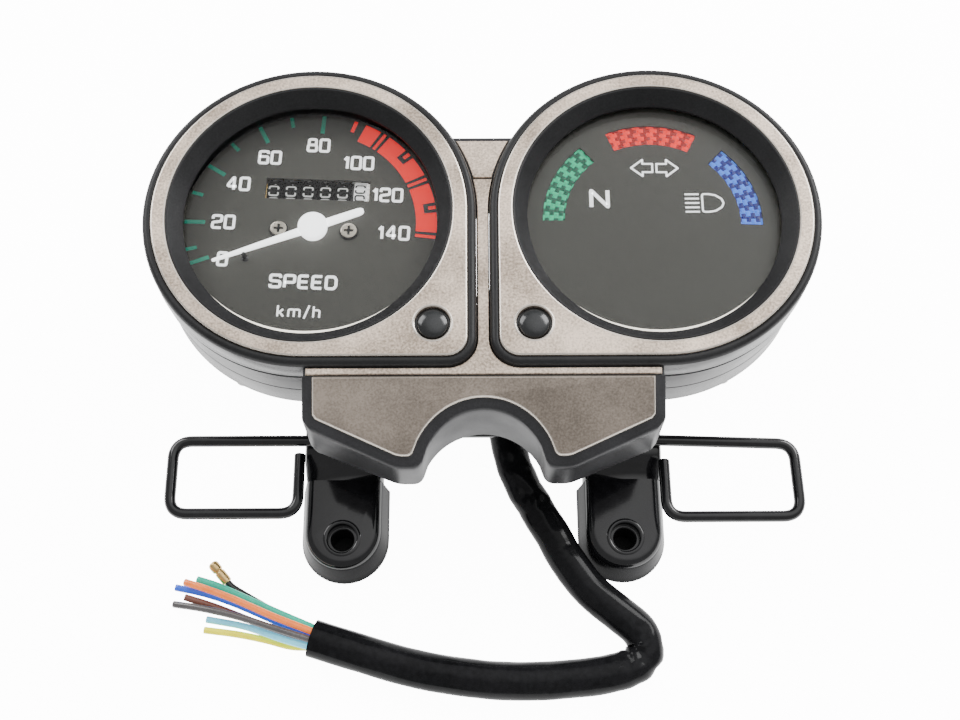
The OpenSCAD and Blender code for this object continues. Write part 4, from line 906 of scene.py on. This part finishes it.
def drum(index):
    """One number drum with its ten digits bent round the rim."""
    last = index == 6
    middle = DRUM_PITCH * (index - 3.5)
    body = turned([
        (1.05, -2.2), (1.9, -2.2), (1.9, -0.7), (5.1, -0.7), (5.1, -2.2), (5.85, -2.2), (6.0, -2.05), (6.0, 1.25),
        (5.85, 1.4), (5.3, 1.4), (5.3, 1.6), (5.0, 1.62), (5.0, 2.2), (1.05, 2.2),
    ], 80)
    teeth = []
    for k in range(20):
        tooth = stroke([(4.9, 0), (5.7, 0)], 0.7, 1.6, 2.2)
        teeth.append(moved(tooth, Matrix.Rotation(2 * math.pi * k / 20, 4, "Z")))
    parts = [body] + teeth
    if last:
        reach = 18.2 - middle
        parts.append(turned([(1.05, 2.0), (1.8, 2.0), (1.8, reach), (1.05, reach)], 32))
        wheel = turned([(1.05, reach - 0.8), (2.0, reach - 0.8), (2.0, reach + 0.8), (1.05, reach + 0.8)], 32)
        parts.append(wheel)
        for k in range(10):
            tooth = stroke([(1.8, 0), (2.75, 0)], 0.55, reach - 0.8, reach + 0.8)
            parts.append(moved(tooth, Matrix.Rotation(2 * math.pi * k / 10, 4, "Z")))
    shape = merged(parts)
    axis = (speedo_frame(FACE - ODO_DEPTH) @ Matrix.Translation((middle, ODO_Y, 0))
            @ Matrix.Rotation(math.pi / 2, 4, "Y"))
    made = solid(f"drum_{index}_wheel", *moved(shape, axis), GLOWING_DRUM_WHITE if last else DRUM_BLACK, 32)
    settle(made, f"drum_{index}", f"odometer_drum_{index}",
           slot="white_plastic" if last else "gloss_black_plastic")
    digits = []
    shift = 0.42 if last else 0.0
    for number in range(10):
        flat = word(str(number), 3.45, 4.3, 0.5, 0.2, 0.0, 0.05, 0.6)
        angle = math.radians(36 * (number + shift))
        bent = []
        for x, y, z in flat[0]:
            around = angle + y / DRUM_R
            r = DRUM_R - 0.005 + z
            bent.append((middle + x - 0.4, ODO_Y + r * math.sin(around), r * math.cos(around)))
        digits.append((bent, flat[1]))
    made = solid(f"drum_{index}_digits", *moved(merged(digits), speedo_frame(FACE - ODO_DEPTH)),
                 BLACK_INK if last else GLOWING_DRUM_INK, 30)
    settle(made, f"drum_{index}")


for index in range(1, 7):
    drum(index)

# ---- Indicator panel, symbols and windows ----

panel_frame = Matrix.Translation((PITCH, DIAL_Y, FACE - PANEL_DEPTH))
WINDOWS = {"neutral": (154.5, "green", "green_lens"), "turn": (88.5, "red", "red_lens"),
           "high_beam": (22.5, "blue", "blue_lens")}
slots = []
for middle, _, _ in WINDOWS.values():
    outer = circle(WINDOW_R[1], count=26, start=middle - WINDOW_HALF, end=middle + WINDOW_HALF)
    inner = circle(WINDOW_R[0], count=26, start=middle + WINDOW_HALF, end=middle - WINDOW_HALF)
    slots.append(outer + inner)
panel = plate("indicator_card", [circle(DIAL_R, count=128)] + slots, -0.6, 0, 0.05, DIAL_INK)
panel.matrix_world = Matrix.Translation(Vector((PITCH, DIAL_Y, FACE - PANEL_DEPTH)) * MM)
settle(panel, HOUSING, "indicator_panel", slot="dial_grey")


def woven(name, node, middle, paints, slot):
    """A coloured window moulded in rows of little blocks, painted light and dark by turns: painted light and shade on
    the blocks.
    """
    r_in, r_out = WINDOW_R[0] - 0.8, WINDOW_R[1] + 0.8
    half = WINDOW_HALF + 1.5
    rows, columns = 42, 182
    block_wide, block_long = 7, 13
    top, bottom = [], []
    for i in range(rows + 1):
        r = r_in + (r_out - r_in) * i / rows
        row_shift = (i // block_wide % 2) * block_long / 2
        line = []
        for k in range(columns + 1):
            a = math.radians(middle - half + 2 * half * k / columns)
            crown = abs(math.sin(math.pi * i / block_wide) * math.sin(math.pi * (k + row_shift) / block_long))
            line.append((r * math.cos(a), r * math.sin(a), -0.78 + 0.16 * crown ** 0.5))
        top.append(line)
        bottom.append([(x, y, -1.4) for x, y, _ in line])
    points = [p for line in top for p in line] + [p for line in bottom for p in line]
    wide = columns + 1
    base = (rows + 1) * wide
    faces, paint_of = [], []
    for i in range(rows):
        for k in range(columns):
            a = i * wide + k
            faces.append((a, a + 1, a + 1 + wide, a + wide))
            row = i // block_wide
            paint_of.append((row + int((k + (row % 2) * block_long / 2) / block_long)) % 2)
    rim = ([i * wide for i in range(rows + 1)] + [rows * wide + k for k in range(1, columns + 1)]
           + [i * wide + columns for i in range(rows - 1, -1, -1)] + [k for k in range(columns - 1, 0, -1)])
    for a, b in zip(rim, rim[1:] + rim[:1]):
        faces.append((a, b, base + b, base + a))
    faces.append(tuple(base + i for i in rim))
    made = solid(name, *moved((points, faces), panel_frame), paints, 50)
    for index, paint in enumerate(paint_of):
        made.data.polygons[index].material_index = paint
    return settle(made, HOUSING, node, slot=slot)


for window_name, (middle, colour, slot_name) in WINDOWS.items():
    woven(window_name + "_filter", window_name + "_window", middle, LENS_GLOW_PAIRS[colour], slot_name)

symbols = [moved(word("N", 6.4, 7.2, 1.1, 0, 0, INK, 0.15), panel_frame @ Matrix.Translation((-14.8, 7.1, 0)))]
for way in (-1, 1):
    arrow = [(0.6, -1.35), (3.4, -1.35), (3.4, -2.7), (6.7, 0.0), (3.4, 2.7), (3.4, 1.35), (0.6, 1.35)]
    arrow = [(way * x, y) for x, y in arrow]
    symbols.append(moved(stroke(arrow, 0.55, 0, INK, True, 0.05),
                         panel_frame @ Matrix.Translation((1.3, 17.0, 0)) @ Matrix.Rotation(-0.01, 4, "Z")))
lamp = [(0, 2.85), (0, -2.85), (1.8, -2.85), (3.7, -2.5), (5.5, -1.3), (6.0, 0), (5.5, 1.3), (3.7, 2.5), (1.8, 2.85)]
symbols.append(moved(stroke(lamp, 0.55, 0, INK, True, 0.7), panel_frame @ Matrix.Translation((14.3, 5.6, 0))))
for k in range(5):
    y = 2.8 - 1.4 * k
    symbols.append(moved(stroke([(0, y), (4.0, y)], 0.52, 0, INK), panel_frame @ Matrix.Translation((9.4, 5.6, 0))))
housed("panel_symbols", symbols, GLOWING_WHITE_INK)

# ---- Centre cover: web, tab and chin ----

SHELF = FACE - 2.0
CHIN_TOP = 33.4
slope = math.tan(math.radians(22))
CHIN_CORNERS = [(-48.3, CHIN_TOP), (-48.3, 22.8), (-46.3, 20.4), (-23.5, 10.8), (-17.0, 10.8)]
NOTCH_R, NOTCH_Y, CHIN_LOW = 17.2, 8.0, 10.8


def chin_line(inset, top):
    """Outline of the chin, anticlockwise from its top left, with all but its top edge moved inwards."""
    left = [(CHIN_CORNERS[0][0] + inset, top, 0)]
    for i, r in ((1, 2.5), (2, 3.0), (3, 10.0)):
        a, b, c = (Vector(p) for p in CHIN_CORNERS[i - 1:i + 2])
        u, v = (b - a).normalized(), (c - b).normalized()
        n, m = Vector((-u.y, u.x)), Vector((-v.y, v.x))
        spot = b + (n + m) * inset / (1 + n.dot(m))
        left.append((spot.x, spot.y, max(0.5, r - inset)))
    low, r = CHIN_LOW + inset, NOTCH_R + inset
    left.append((-math.sqrt(r * r - (low - NOTCH_Y) ** 2), low, max(0.8, 3.4 - inset / 2)))
    arc = [(r * math.cos(a), NOTCH_Y + r * math.sin(a), 0) for a in (math.radians(152 - 5.167 * k) for k in range(25))]
    return rounded(left + arc + [(-x, y, bend) for x, y, bend in left[::-1]])


def chin_loop(inset, drop, flat=None, top=CHIN_TOP):
    return [(x, y, SHELF - drop - (CHIN_TOP - y) * slope if flat is None else flat) for x, y in chin_line(inset, top)]


chin_body = lofted([chin_loop(*row) for row in (
    (2.2, 4.0), (2.2, 0, 27.0), (0.35, 0, 27.0), (0.1, 0, 27.3), (0.0, 3.2), (0.0, 1.7), (0.15, 1.1), (0.55, 0.8),
    (1.0, 0.72), (2.9, 0.72))], cap_start=True, cap_end=True)
settle(solid("chin_body", *chin_body, BLACK_ABS, 30), HOUSING, "centre_cover", slot="black_abs")
FACE_TOP = CHIN_TOP - 0.35
chin_face = lofted([chin_loop(inset, drop, top=FACE_TOP) for inset, drop in (
    (2.85, 1.1), (2.9, 0.45), (3.0, 0.2), (3.3, 0.0))], cap_start=True, cap_end=True)
# The chin's face takes the darker copy of the paint: painted shade.
settle(solid("chin_face", *chin_face, CHIN_BRONZE_SHADED, 28), HOUSING, slot="black_abs")
rim_top = FACE_TOP - 0.05
chin_edge = lofted([chin_loop(inset, drop, top=rim_top - lower) for inset, drop, lower in (
    (2.83, 0.7, 0), (2.87, 0.4, 0), (2.98, 0.12, 0), (3.22, -0.03, 0.3), (3.3, 0.06, 0.35), (3.1, 0.6, 0.3))],
    closed=True)
# The chin face's rounded edge takes the lighter copy of the paint: painted highlight.
settle(solid("chin_edge", *chin_edge, BRONZE_EDGE_HIGHLIGHT, 40), HOUSING)


def web_line(gap, low, high, half_low):
    """Right-hand outline between the pods, from the strip's end up to a height."""
    r = RIM_R + gap
    corner = CORNER_R + gap
    line = [(half_low, low), (half_low, DIAL_Y - r)]
    line += circle(corner, (PITCH - RIM_R + CORNER_R, DIAL_Y - RIM_R + CORNER_R), 14, 270, 180)
    top = math.degrees(math.asin((high - DIAL_Y) / r))
    line += circle(r, (PITCH, DIAL_Y), 20, 180, 180 - top)
    return line


right = web_line(0.3, CHIN_TOP + 0.25, DIAL_Y + 10.6, 47.2)
web = plate("web_face", [right + [(-x, y) for x, y in right[::-1]]], SHELF - 5, SHELF, 0.35, BRONZE, 28)
settle(web, HOUSING, slot="black_abs")
right = web_line(0.05, CHIN_TOP + 0.25, DIAL_Y + 10.6, 47.2)
under = plate("web_under", [right + [(-x, y) for x, y in right[::-1]]], SHELF - 6.4, SHELF - 4.9, 0.1, BLACK_ABS, 28)
settle(under, HOUSING, slot="black_abs")
crease = plate("web_crease", [[(-47.9, CHIN_TOP - 0.3), (47.9, CHIN_TOP - 0.3), (47.9, CHIN_TOP + 2.6),
                               (-47.9, CHIN_TOP + 2.6)]], SHELF - 9, SHELF - 0.75, 0.2, BLACK_ABS, 28)
settle(crease, HOUSING, slot="black_abs")


def tab_line(gap, low, high):
    """Outline between the two rims, with a gap to each, from one height to another."""
    r = RIM_R + gap
    rise = [low + (high - low) * k / 12 for k in range(13)]
    right = [(PITCH - math.sqrt(r * r - (y - DIAL_Y) ** 2), y) for y in rise]
    return right + [(-x, y) for x, y in right[::-1]]


tab = plate("tab_body", [tab_line(0.12, DIAL_Y + 10.5, DIAL_Y + 24.7)], SHELF - 8, SHELF - 1.2, 0.3, BLACK_ABS, 28)
settle(tab, HOUSING, slot="black_abs")
tab_face = plate("tab_face", [tab_line(0.6, DIAL_Y + 11.4, DIAL_Y + 23.3)], SHELF - 3, SHELF - 0.6, 0.3, BRONZE, 28)
settle(tab_face, HOUSING, slot="black_abs")

# ---- Bracket with its two legs ----

def leg_loop(top_r, end_y, north, z, x0):
    """A tongue's outline at one height: a half circle at the free end and straight sides."""
    loop = [(x0 + top_r, north)]
    loop += [(x0 + top_r, end_y + (north - end_y) * (1 - k / 8)) for k in range(1, 8)]
    loop += [(x0 + top_r * math.cos(a), end_y + top_r * math.sin(a))
             for a in (math.radians(-7.5 * k) for k in range(25))]
    loop += [(x0 - top_r, end_y + (north - end_y) * k / 8) for k in range(1, 8)]
    loop += [(x0 - top_r, north)]
    return [(x, y, z) for x, y in loop]


def leg_of(side):
    x0 = side * LEG_X
    outer = [(12.6, 0.0), (12.45, 0.5), (12.0, 3.0), (11.4, 6.4), (11.0, 8.6), (10.75, 9.9), (10.35, 10.9),
             (9.75, 11.6), (9.0, 11.92), (8.4, 12.0)]
    skin = [leg_loop(r, 2.2, 17.2, z, x0) for r, z in outer]
    hollow = [leg_loop(r, 2.2, 17.2, z, x0) for r, z in ((10.9, 0.0), (10.0, 5.0), (9.2, 9.0), (8.4, 9.9))]
    ramp_rows = [(17.0, 12.0, 10.75), (18.2, 12.1, 10.9), (19.5, 12.7, 11.0), (21.5, 14.0, 11.1), (23.0, 14.95, 11.1),
                 (24.5, 15.35, 11.1), (29.6, 15.38, 11.1)]
    section = []
    for y, z, half in ramp_rows:
        low = max(0.6, 0.6 + (y - 17.0) * 1.06)
        low = min(low, 13.2)
        section.append([(x0 - half, y, low), (x0 - half, y, z - 1.5), (x0 - half + 0.5, y, z - 0.5),
                        (x0 - half + 1.4, y, z), (x0 + half - 1.4, y, z), (x0 + half - 0.5, y, z - 0.5),
                        (x0 + half, y, z - 1.5), (x0 + half, y, low), (x0 + half - 2, y, low),
                        (x0 + half - 2, y, max(low, z - 2.2)), (x0 - half + 2, y, max(low, z - 2.2)),
                        (x0 - half + 2, y, low)])
    ramp = lofted(section, cap_start=True, cap_end=True)
    # The legs' steep faces take the less reflective copy of the enamel: painted shade.
    leg = solid("leg", *cupped(skin, hollow), [ENAMEL, ENAMEL_SIDE_SHADED], 34)
    for side_face in leg.data.polygons:
        if abs(side_face.normal.z) < LEG_STEEP:
            side_face.material_index = 1
    cut_by(leg, turned([(4.1, -1), (4.1, 11.3), (4.5, 12.2), (4.9, 12.6)], 48, (x0, 0, 0)), angle=34)
    return leg, solid("ramp", *ramp, ENAMEL, 34)


plate_line = rounded([(-51, 29, 0.5), (51, 29, 0.5), (51, 46.5, 0.5), (74, 46.5, 6), (74, 65, 6), (-74, 65, 6),
                      (-74, 46.5, 6), (-51, 46.5, 0.5)], 10)
holes = [circle(5, (x, y), 40) for x, y in STUDS]
cross_plate = plate("bracket_steel", [plate_line] + holes, PLATE_LOW, PLATE_TOP, 0.4, ENAMEL)
posts = solid("posts", *merged([
    turned([(1.6, PLATE_TOP - 0.1), (3.4, PLATE_TOP - 0.1), (3.4, 32.7), (3.1, 33.0), (1.6, 33.0), (1.6, PLATE_TOP)],
           40, (side * POST[0], POST[1], 0)) for side in (-1, 1)]), ENAMEL, 34)
rims = solid("hole_rims", *merged([
    ringed([(4.25, -0.2), (4.15, 0.05), (4.4, 0.22), (4.9, 0.25), (5.3, 0.05), (5.2, -0.2)], 64,
           (side * LEG_X, 0, FOOT)) for side in (-1, 1)]), ENAMEL, 40)
bits = [cross_plate, posts, rims]
for side in (-1, 1):
    bits += leg_of(side)
with bpy.context.temp_override(active_object=cross_plate, selected_editable_objects=bits):
    bpy.ops.object.join()
settle(cross_plate, HOUSING, "bracket", slot="black_enamel")

# ---- Cable guides ----

GUIDE_Z = PLATE_TOP + 1.6


def guide_of(side, name, node, corners, free_end):
    """Bent wire from the bracket out, down, back in and up to its free end."""
    spots = [(side * 42, 27.2)] + list(corners) + [free_end]
    line = rounded([(x, y, 0 if i in (0, len(spots) - 1) else 5.2) for i, (x, y) in enumerate(spots)], 12)
    route = [Vector((x, y, GUIDE_Z)) for x, y in line]
    dense = []
    for a, b in zip(route[:-1], route[1:]):
        pieces = max(1, int((b - a).length / 3))
        dense += [a + (b - a) * k / pieces for k in range(pieces)]
    dense.append(route[-1])
    loops = rings_along(dense, 1.6, 24, lambda angle, place: 1.0 + 0.008 * noise.noise(place * 0.3))
    ahead = (dense[-1] - dense[-2]).normalized() * 0.25
    tip = [tuple(dense[-1] + ahead + (Vector(p) - dense[-1]) * 0.82) for p in loops[-1]]
    made = solid(name, *lofted(loops + [tip], cap_start=True, cap_end=True), ENAMEL, 40)
    return settle(made, HOUSING, node, slot="black_enamel")


guide_of(1, "guide_right", "cable_guide_right", [(88.5, 25.6), (89.0, 4.3), (51.4, 4.3)], (51.3, 20.8))
guide_of(-1, "guide_left", "cable_guide_left", [(-88.2, 27.2), (-88.2, 5.8), (-52.2, 5.8)], (-52.2, 23.0))

# ---- Collars, grommets, studs, nuts, screws, connector and bulb holders ----

collars = [ringed([(3.1, 0.3), (3.3, 0.05), (5.8, 0.05), (6.0, 0.25), (6.0, 9.8), (5.8, 9.98), (3.4, 9.98), (3.1, 9.7)],
                  64, (x, 0, 0)) for x in (-LEG_X, LEG_X)]
housed("collar_rings", collars, ENAMEL, 30, "leg_collars", slot="black_enamel")
grommets = [ringed([(2.6, 11.0), (2.8, 10.9), (6.6, 10.9), (7.0, 11.3), (7.0, 13.0), (6.7, 13.4), (5.0, 13.4),
                    (5.0, 15.4), (7.5, 15.4), (8.0, 15.9), (8.0, 18.0), (7.4, 18.3), (7.4, 18.6), (8.0, 18.9),
                    (8.0, 20.5), (7.6, 21.0), (2.8, 21.0), (2.6, 20.8)], 48, (x, y, 0)) for x, y in STUDS]
housed("grommet_rings", grommets, RUBBER, 30, "pod_grommets", slot="black_rubber")
refined("pod_studs", ZINC, HOUSING, 0.2, "zinc_steel")
refined("pod_nuts", ZINC, HOUSING, 0.25, "zinc_steel")
refined("dial_screws", NICKEL, HOUSING, 0.12, "zinc_steel")
# Black rings hugging the dial screws' heads and black crosses on them: painted shade in the gaps and the cross
# recesses.
screw_shades = []
for x in (-10, 10):
    at_head = speedo_frame(FACE - DIAL_DEPTH) @ Matrix.Translation((x, 0, 0))
    screw_shades.append(moved(ringed([(2.32, 0.0), (2.34, 0.72), (2.5, 0.74), (2.75, 0.0)], 40), at_head))
    for quarter in (0, math.pi / 2):
        arm = stroke([(-1.36, 0), (1.36, 0)], 0.68, 0.38, 0.44)
        screw_shades.append(moved(arm, at_head @ Matrix.Rotation(quarter, 4, "Z")))
housed("dial_screw_recess_shade", screw_shades, BLACK_INK)
refined("case_screws", ZINC, HOUSING, 0.12, "zinc_steel")
refined("cover_screws", ZINC, HOUSING, 0.12, "zinc_steel")
refined("harness_tie", GLOSS_BLACK, HOUSING, 0.2, "gloss_black_plastic")

neck = ringed([(2.65, -44.0), (8.0, -44.0), (8.0, -43.0), (2.65, -43.0)], 64, (-PITCH, DIAL_Y, FACE))
barrel = [(4.2, -53.9), (4.4, -54.0), (5.7, -54.0), (6.0, -53.7)]
for k in range(7):
    z = -53.2 + k * 0.95
    barrel += [(6.0, z), (5.6, z + 0.25), (5.6, z + 0.5), (6.0, z + 0.75)]
barrel += [(6.0, -46.2), (5.8, -46.0), (4.9, -46.0), (4.9, -44.0), (2.65, -44.0), (2.65, -49.9), (4.2, -50.0)]
barrel = ringed(barrel, 64, (-PITCH, DIAL_Y, FACE))
housed("connector_barrel", [neck, barrel], CASTING, 30, "cable_connector", slot="zinc_cast")

BULBS = [at_pod(-1, -26, 9, 0), at_pod(1, -25, 12, 0), at_pod(1, 0.8, 28, 0), at_pod(1, 25.8, 10.7, 0)]
boots = []
for x, y, z in BULBS:
    boots.append(ringed([
        (3.4, -29.0), (3.6, -28.9), (5.4, -28.9), (5.7, -29.2), (5.6, -33.0), (7.5, -33.0), (7.8, -33.3), (7.8, -34.3),
        (7.5, -34.6), (6.5, -34.8), (6.3, -35.4), (6.3, -39.0), (6.4, -39.4), (6.4, -40.2), (6.1, -40.5), (6.1, -41.2),
        (6.4, -41.5), (6.4, -52.6), (6.2, -53.4), (5.5, -53.9), (1.0, -54.0), (0.95, -53.9), (0.95, -34.0),
        (3.4, -33.0)], 48, (x, y, z)))
housed("bulb_boots", boots, RUBBER, 34, "bulb_holders", slot="black_rubber")
glasses = [turned([(3.0, -32.9), (3.3, -32.6), (3.4, -24.2), (3.2, -23.0), (2.7, -21.9), (1.9, -21.1), (1.0, -20.7),
                   (0.0, -20.6)], 32, spot) for spot in BULBS]
housed("bulb_glasses", glasses, BULB_GLASS, 40, "bulbs", slot="bulb_glass")
filaments = []
for x, y, z in BULBS:
    turns = [Vector((x - 1.6 + 3.2 * k / 60, y + 0.35 * math.cos(k * 1.2), z - 25 + 0.35 * math.sin(k * 1.2)))
             for k in range(61)]
    filaments.append(lofted(rings_along(turns, 0.07, 6), cap_start=True, cap_end=True))
    for leg in (-1.6, 1.6):
        filaments.append(turned([(0.12, -32.5), (0.12, -25), (0.0, -24.9)], 8, (x + leg, y, z)))
housed("bulb_filaments", filaments, ZINC, 40)

LEAD_ROUTES = [
    [(-68, 89.4, 14), (-66.6, 83, 13), (-67, 72, 11), (-58, 64, 10), (-44, 63, 9.4), (-24, 65, 9), (-8, 71, 8.4),
     (1, 77.5, 7.9), (1.6, 74, 7.9)],
    [(18.7, 90.5, 12), (12, 84, 9.5), (6.5, 80, 8.2), (4.4, 77.5, 7.9), (4.3, 74, 7.9)],
    [(45.7, 108.3, 8), (30, 99, 6.4), (15, 87, 5.4), (6, 79.5, 5.1), (4.3, 74, 5.1)],
    [(71.8, 89.6, 8), (60, 75, 6), (36, 67, 4.4), (14, 72.5, 3), (4, 80, 2.8), (1.2, 79, 4.6), (1.6, 74, 5.1)],
]
LEAD_PAINT = finish_of("pvc_lead", (0.02, 0.02, 0.021), 0.28, 0.0, 0.25, 300.0, 1600.0, 0.1, 0.03, coat=0.2)
for lead_name, route in zip(("speedo", "neutral", "turn", "high_beam"), LEAD_ROUTES):
    line = smooth_route(route, 1.0)
    loops = rings_along(line, 0.95, 12)
    made = solid(lead_name + "_lead", *lofted(loops, cap_start=True, cap_end=True), LEAD_PAINT, 50)
    settle(made, HOUSING, lead_name + "_lamp_lead", slot="lead_black")

# ---- Movement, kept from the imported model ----

INSIDE = {
    "needle_spindle": (ZINC, "needle_set", "zinc_steel"), "drag_cup": (ALUMINIUM, "needle_set", "aluminium"),
    "hairspring": (BRASS, HOUSING, "brass"), "movement_frame": (BRASS, HOUSING, "brass"),
    "drive_magnet": (FERRITE, "input_drive", "magnet"), "input_shaft": (ZINC, "input_drive", "zinc_steel"),
    "cross_shaft": (ZINC, "cross_shaft_body", "zinc_steel"),
    "riser_shaft": (WHITE_PLASTIC, "riser_shaft_body", "white_plastic"),
    "odometer_shaft": (ZINC, HOUSING, "zinc_steel"),
    "transfer_pinions": (WHITE_PLASTIC, "pinions_body", "white_plastic"),
    "lamp_house": (WHITE_PLASTIC, HOUSING, "white_plastic"),
}
for node_name, (paint, body, slot_name) in INSIDE.items():
    refined(node_name, paint, body, 0.08, slot_name)

# ---- Stage and light ----

def floor_light(paint, seen, cast):
    """White to look at, with little light thrown on the sides; dark and unlit in discs under the holes of the feet: a
    painted shadow.
    """
    tree = paint.node_tree
    shader = tree.nodes["Principled BSDF"]
    place = node_of(tree, "ShaderNodeTexCoord")
    near = node_of(tree, "ShaderNodeMath", operation="MINIMUM")
    for slot_index, side in enumerate((-1, 1)):
        gap = node_of(tree, "ShaderNodeVectorMath", operation="DISTANCE")
        gap.inputs[1].default_value = (side * LEG_X * MM, 0, 0)
        link(tree, place, "Object", gap, 0)
        link(tree, gap, "Value", near, slot_index)
    # Fully dark within 4.6 mm of the points under the leg holes, fading out by 6.5 mm: painted shadow.
    clear = spread(tree, near.outputs[0], 0.0, 1.0, 4.6 * MM, 6.5 * MM)
    path = node_of(tree, "ShaderNodeLightPath")
    strength = node_of(tree, "ShaderNodeMath", operation="MULTIPLY")
    tree.links.new(spread(tree, path.outputs["Is Camera Ray"], cast, seen, 0.0, 1.0), strength.inputs[0])
    tree.links.new(clear, strength.inputs[1])
    link(tree, strength, 0, shader, "Emission Strength")
    # The same discs darken the floor's colour: painted shadow.
    shade = node_of(tree, "ShaderNodeVectorMath", operation="SCALE")
    tree.links.new(shader.inputs["Base Color"].links[0].from_socket, shade.inputs[0])
    tree.links.new(clear, shade.inputs["Scale"])
    link(tree, shade, "Vector", shader, "Base Color")


FLOOR_SEEN, FLOOR_CAST, WORLD_SEEN, FLOOR_HALF, FLOOR_Z = 14.0, 2.0, 13.0, 2000, -0.05
floor_light(PAPER, FLOOR_SEEN, FLOOR_CAST)
floor = solid("floor", [(x * FLOOR_HALF, y * FLOOR_HALF, FLOOR_Z) for x, y in ((-1, -1), (1, -1), (1, 1), (-1, 1))],
              [(0, 1, 2, 3)], PAPER)


def softbox(name, place, target, size, power):
    lamp_data = bpy.data.lights.new(name, "AREA")
    lamp_data.shape = "RECTANGLE"
    lamp_data.size, lamp_data.size_y = size
    lamp_data.energy = power
    made = bpy.data.objects.new(name, lamp_data)
    bpy.context.collection.objects.link(made)
    made.location = place
    made.rotation_mode = "QUATERNION"
    made.rotation_quaternion = (Vector(target) - Vector(place)).to_track_quat("-Z", "Y")
    return made


softbox("left_softbox", (-0.6, 0.6, 0.55), (0, 0.05, 0), (0.5, 0.5), 6.0)
softbox("right_softbox", (0.6, 0.6, 0.55), (0, 0.05, 0), (0.5, 0.5), 9.0)
world = bpy.data.worlds.new("studio")
world.use_nodes = True
sky = world.node_tree
sky_place = node_of(sky, "ShaderNodeTexCoord")
toward = node_of(sky, "ShaderNodeVectorMath", operation="DOT_PRODUCT")
toward.inputs[1].default_value = (0.27, 0.36, 0.89)
link(sky, sky_place, "Generated", toward, 0)
seen = node_of(sky, "ShaderNodeLightPath")
level = node_of(sky, "ShaderNodeMath", operation="MAXIMUM")
sky.links.new(spread(sky, toward.outputs["Value"], 0.6, 2.0, 0.72, 1.0), level.inputs[0])
sky.links.new(spread(sky, seen.outputs["Is Camera Ray"], 0.0, WORLD_SEEN, 0.0, 1.0), level.inputs[1])
sky.links.new(level.outputs[0], sky.nodes["Background"].inputs["Strength"])
sky.nodes["Background"].inputs["Color"].default_value = (1, 1, 1, 1)
bpy.context.scene.world = world
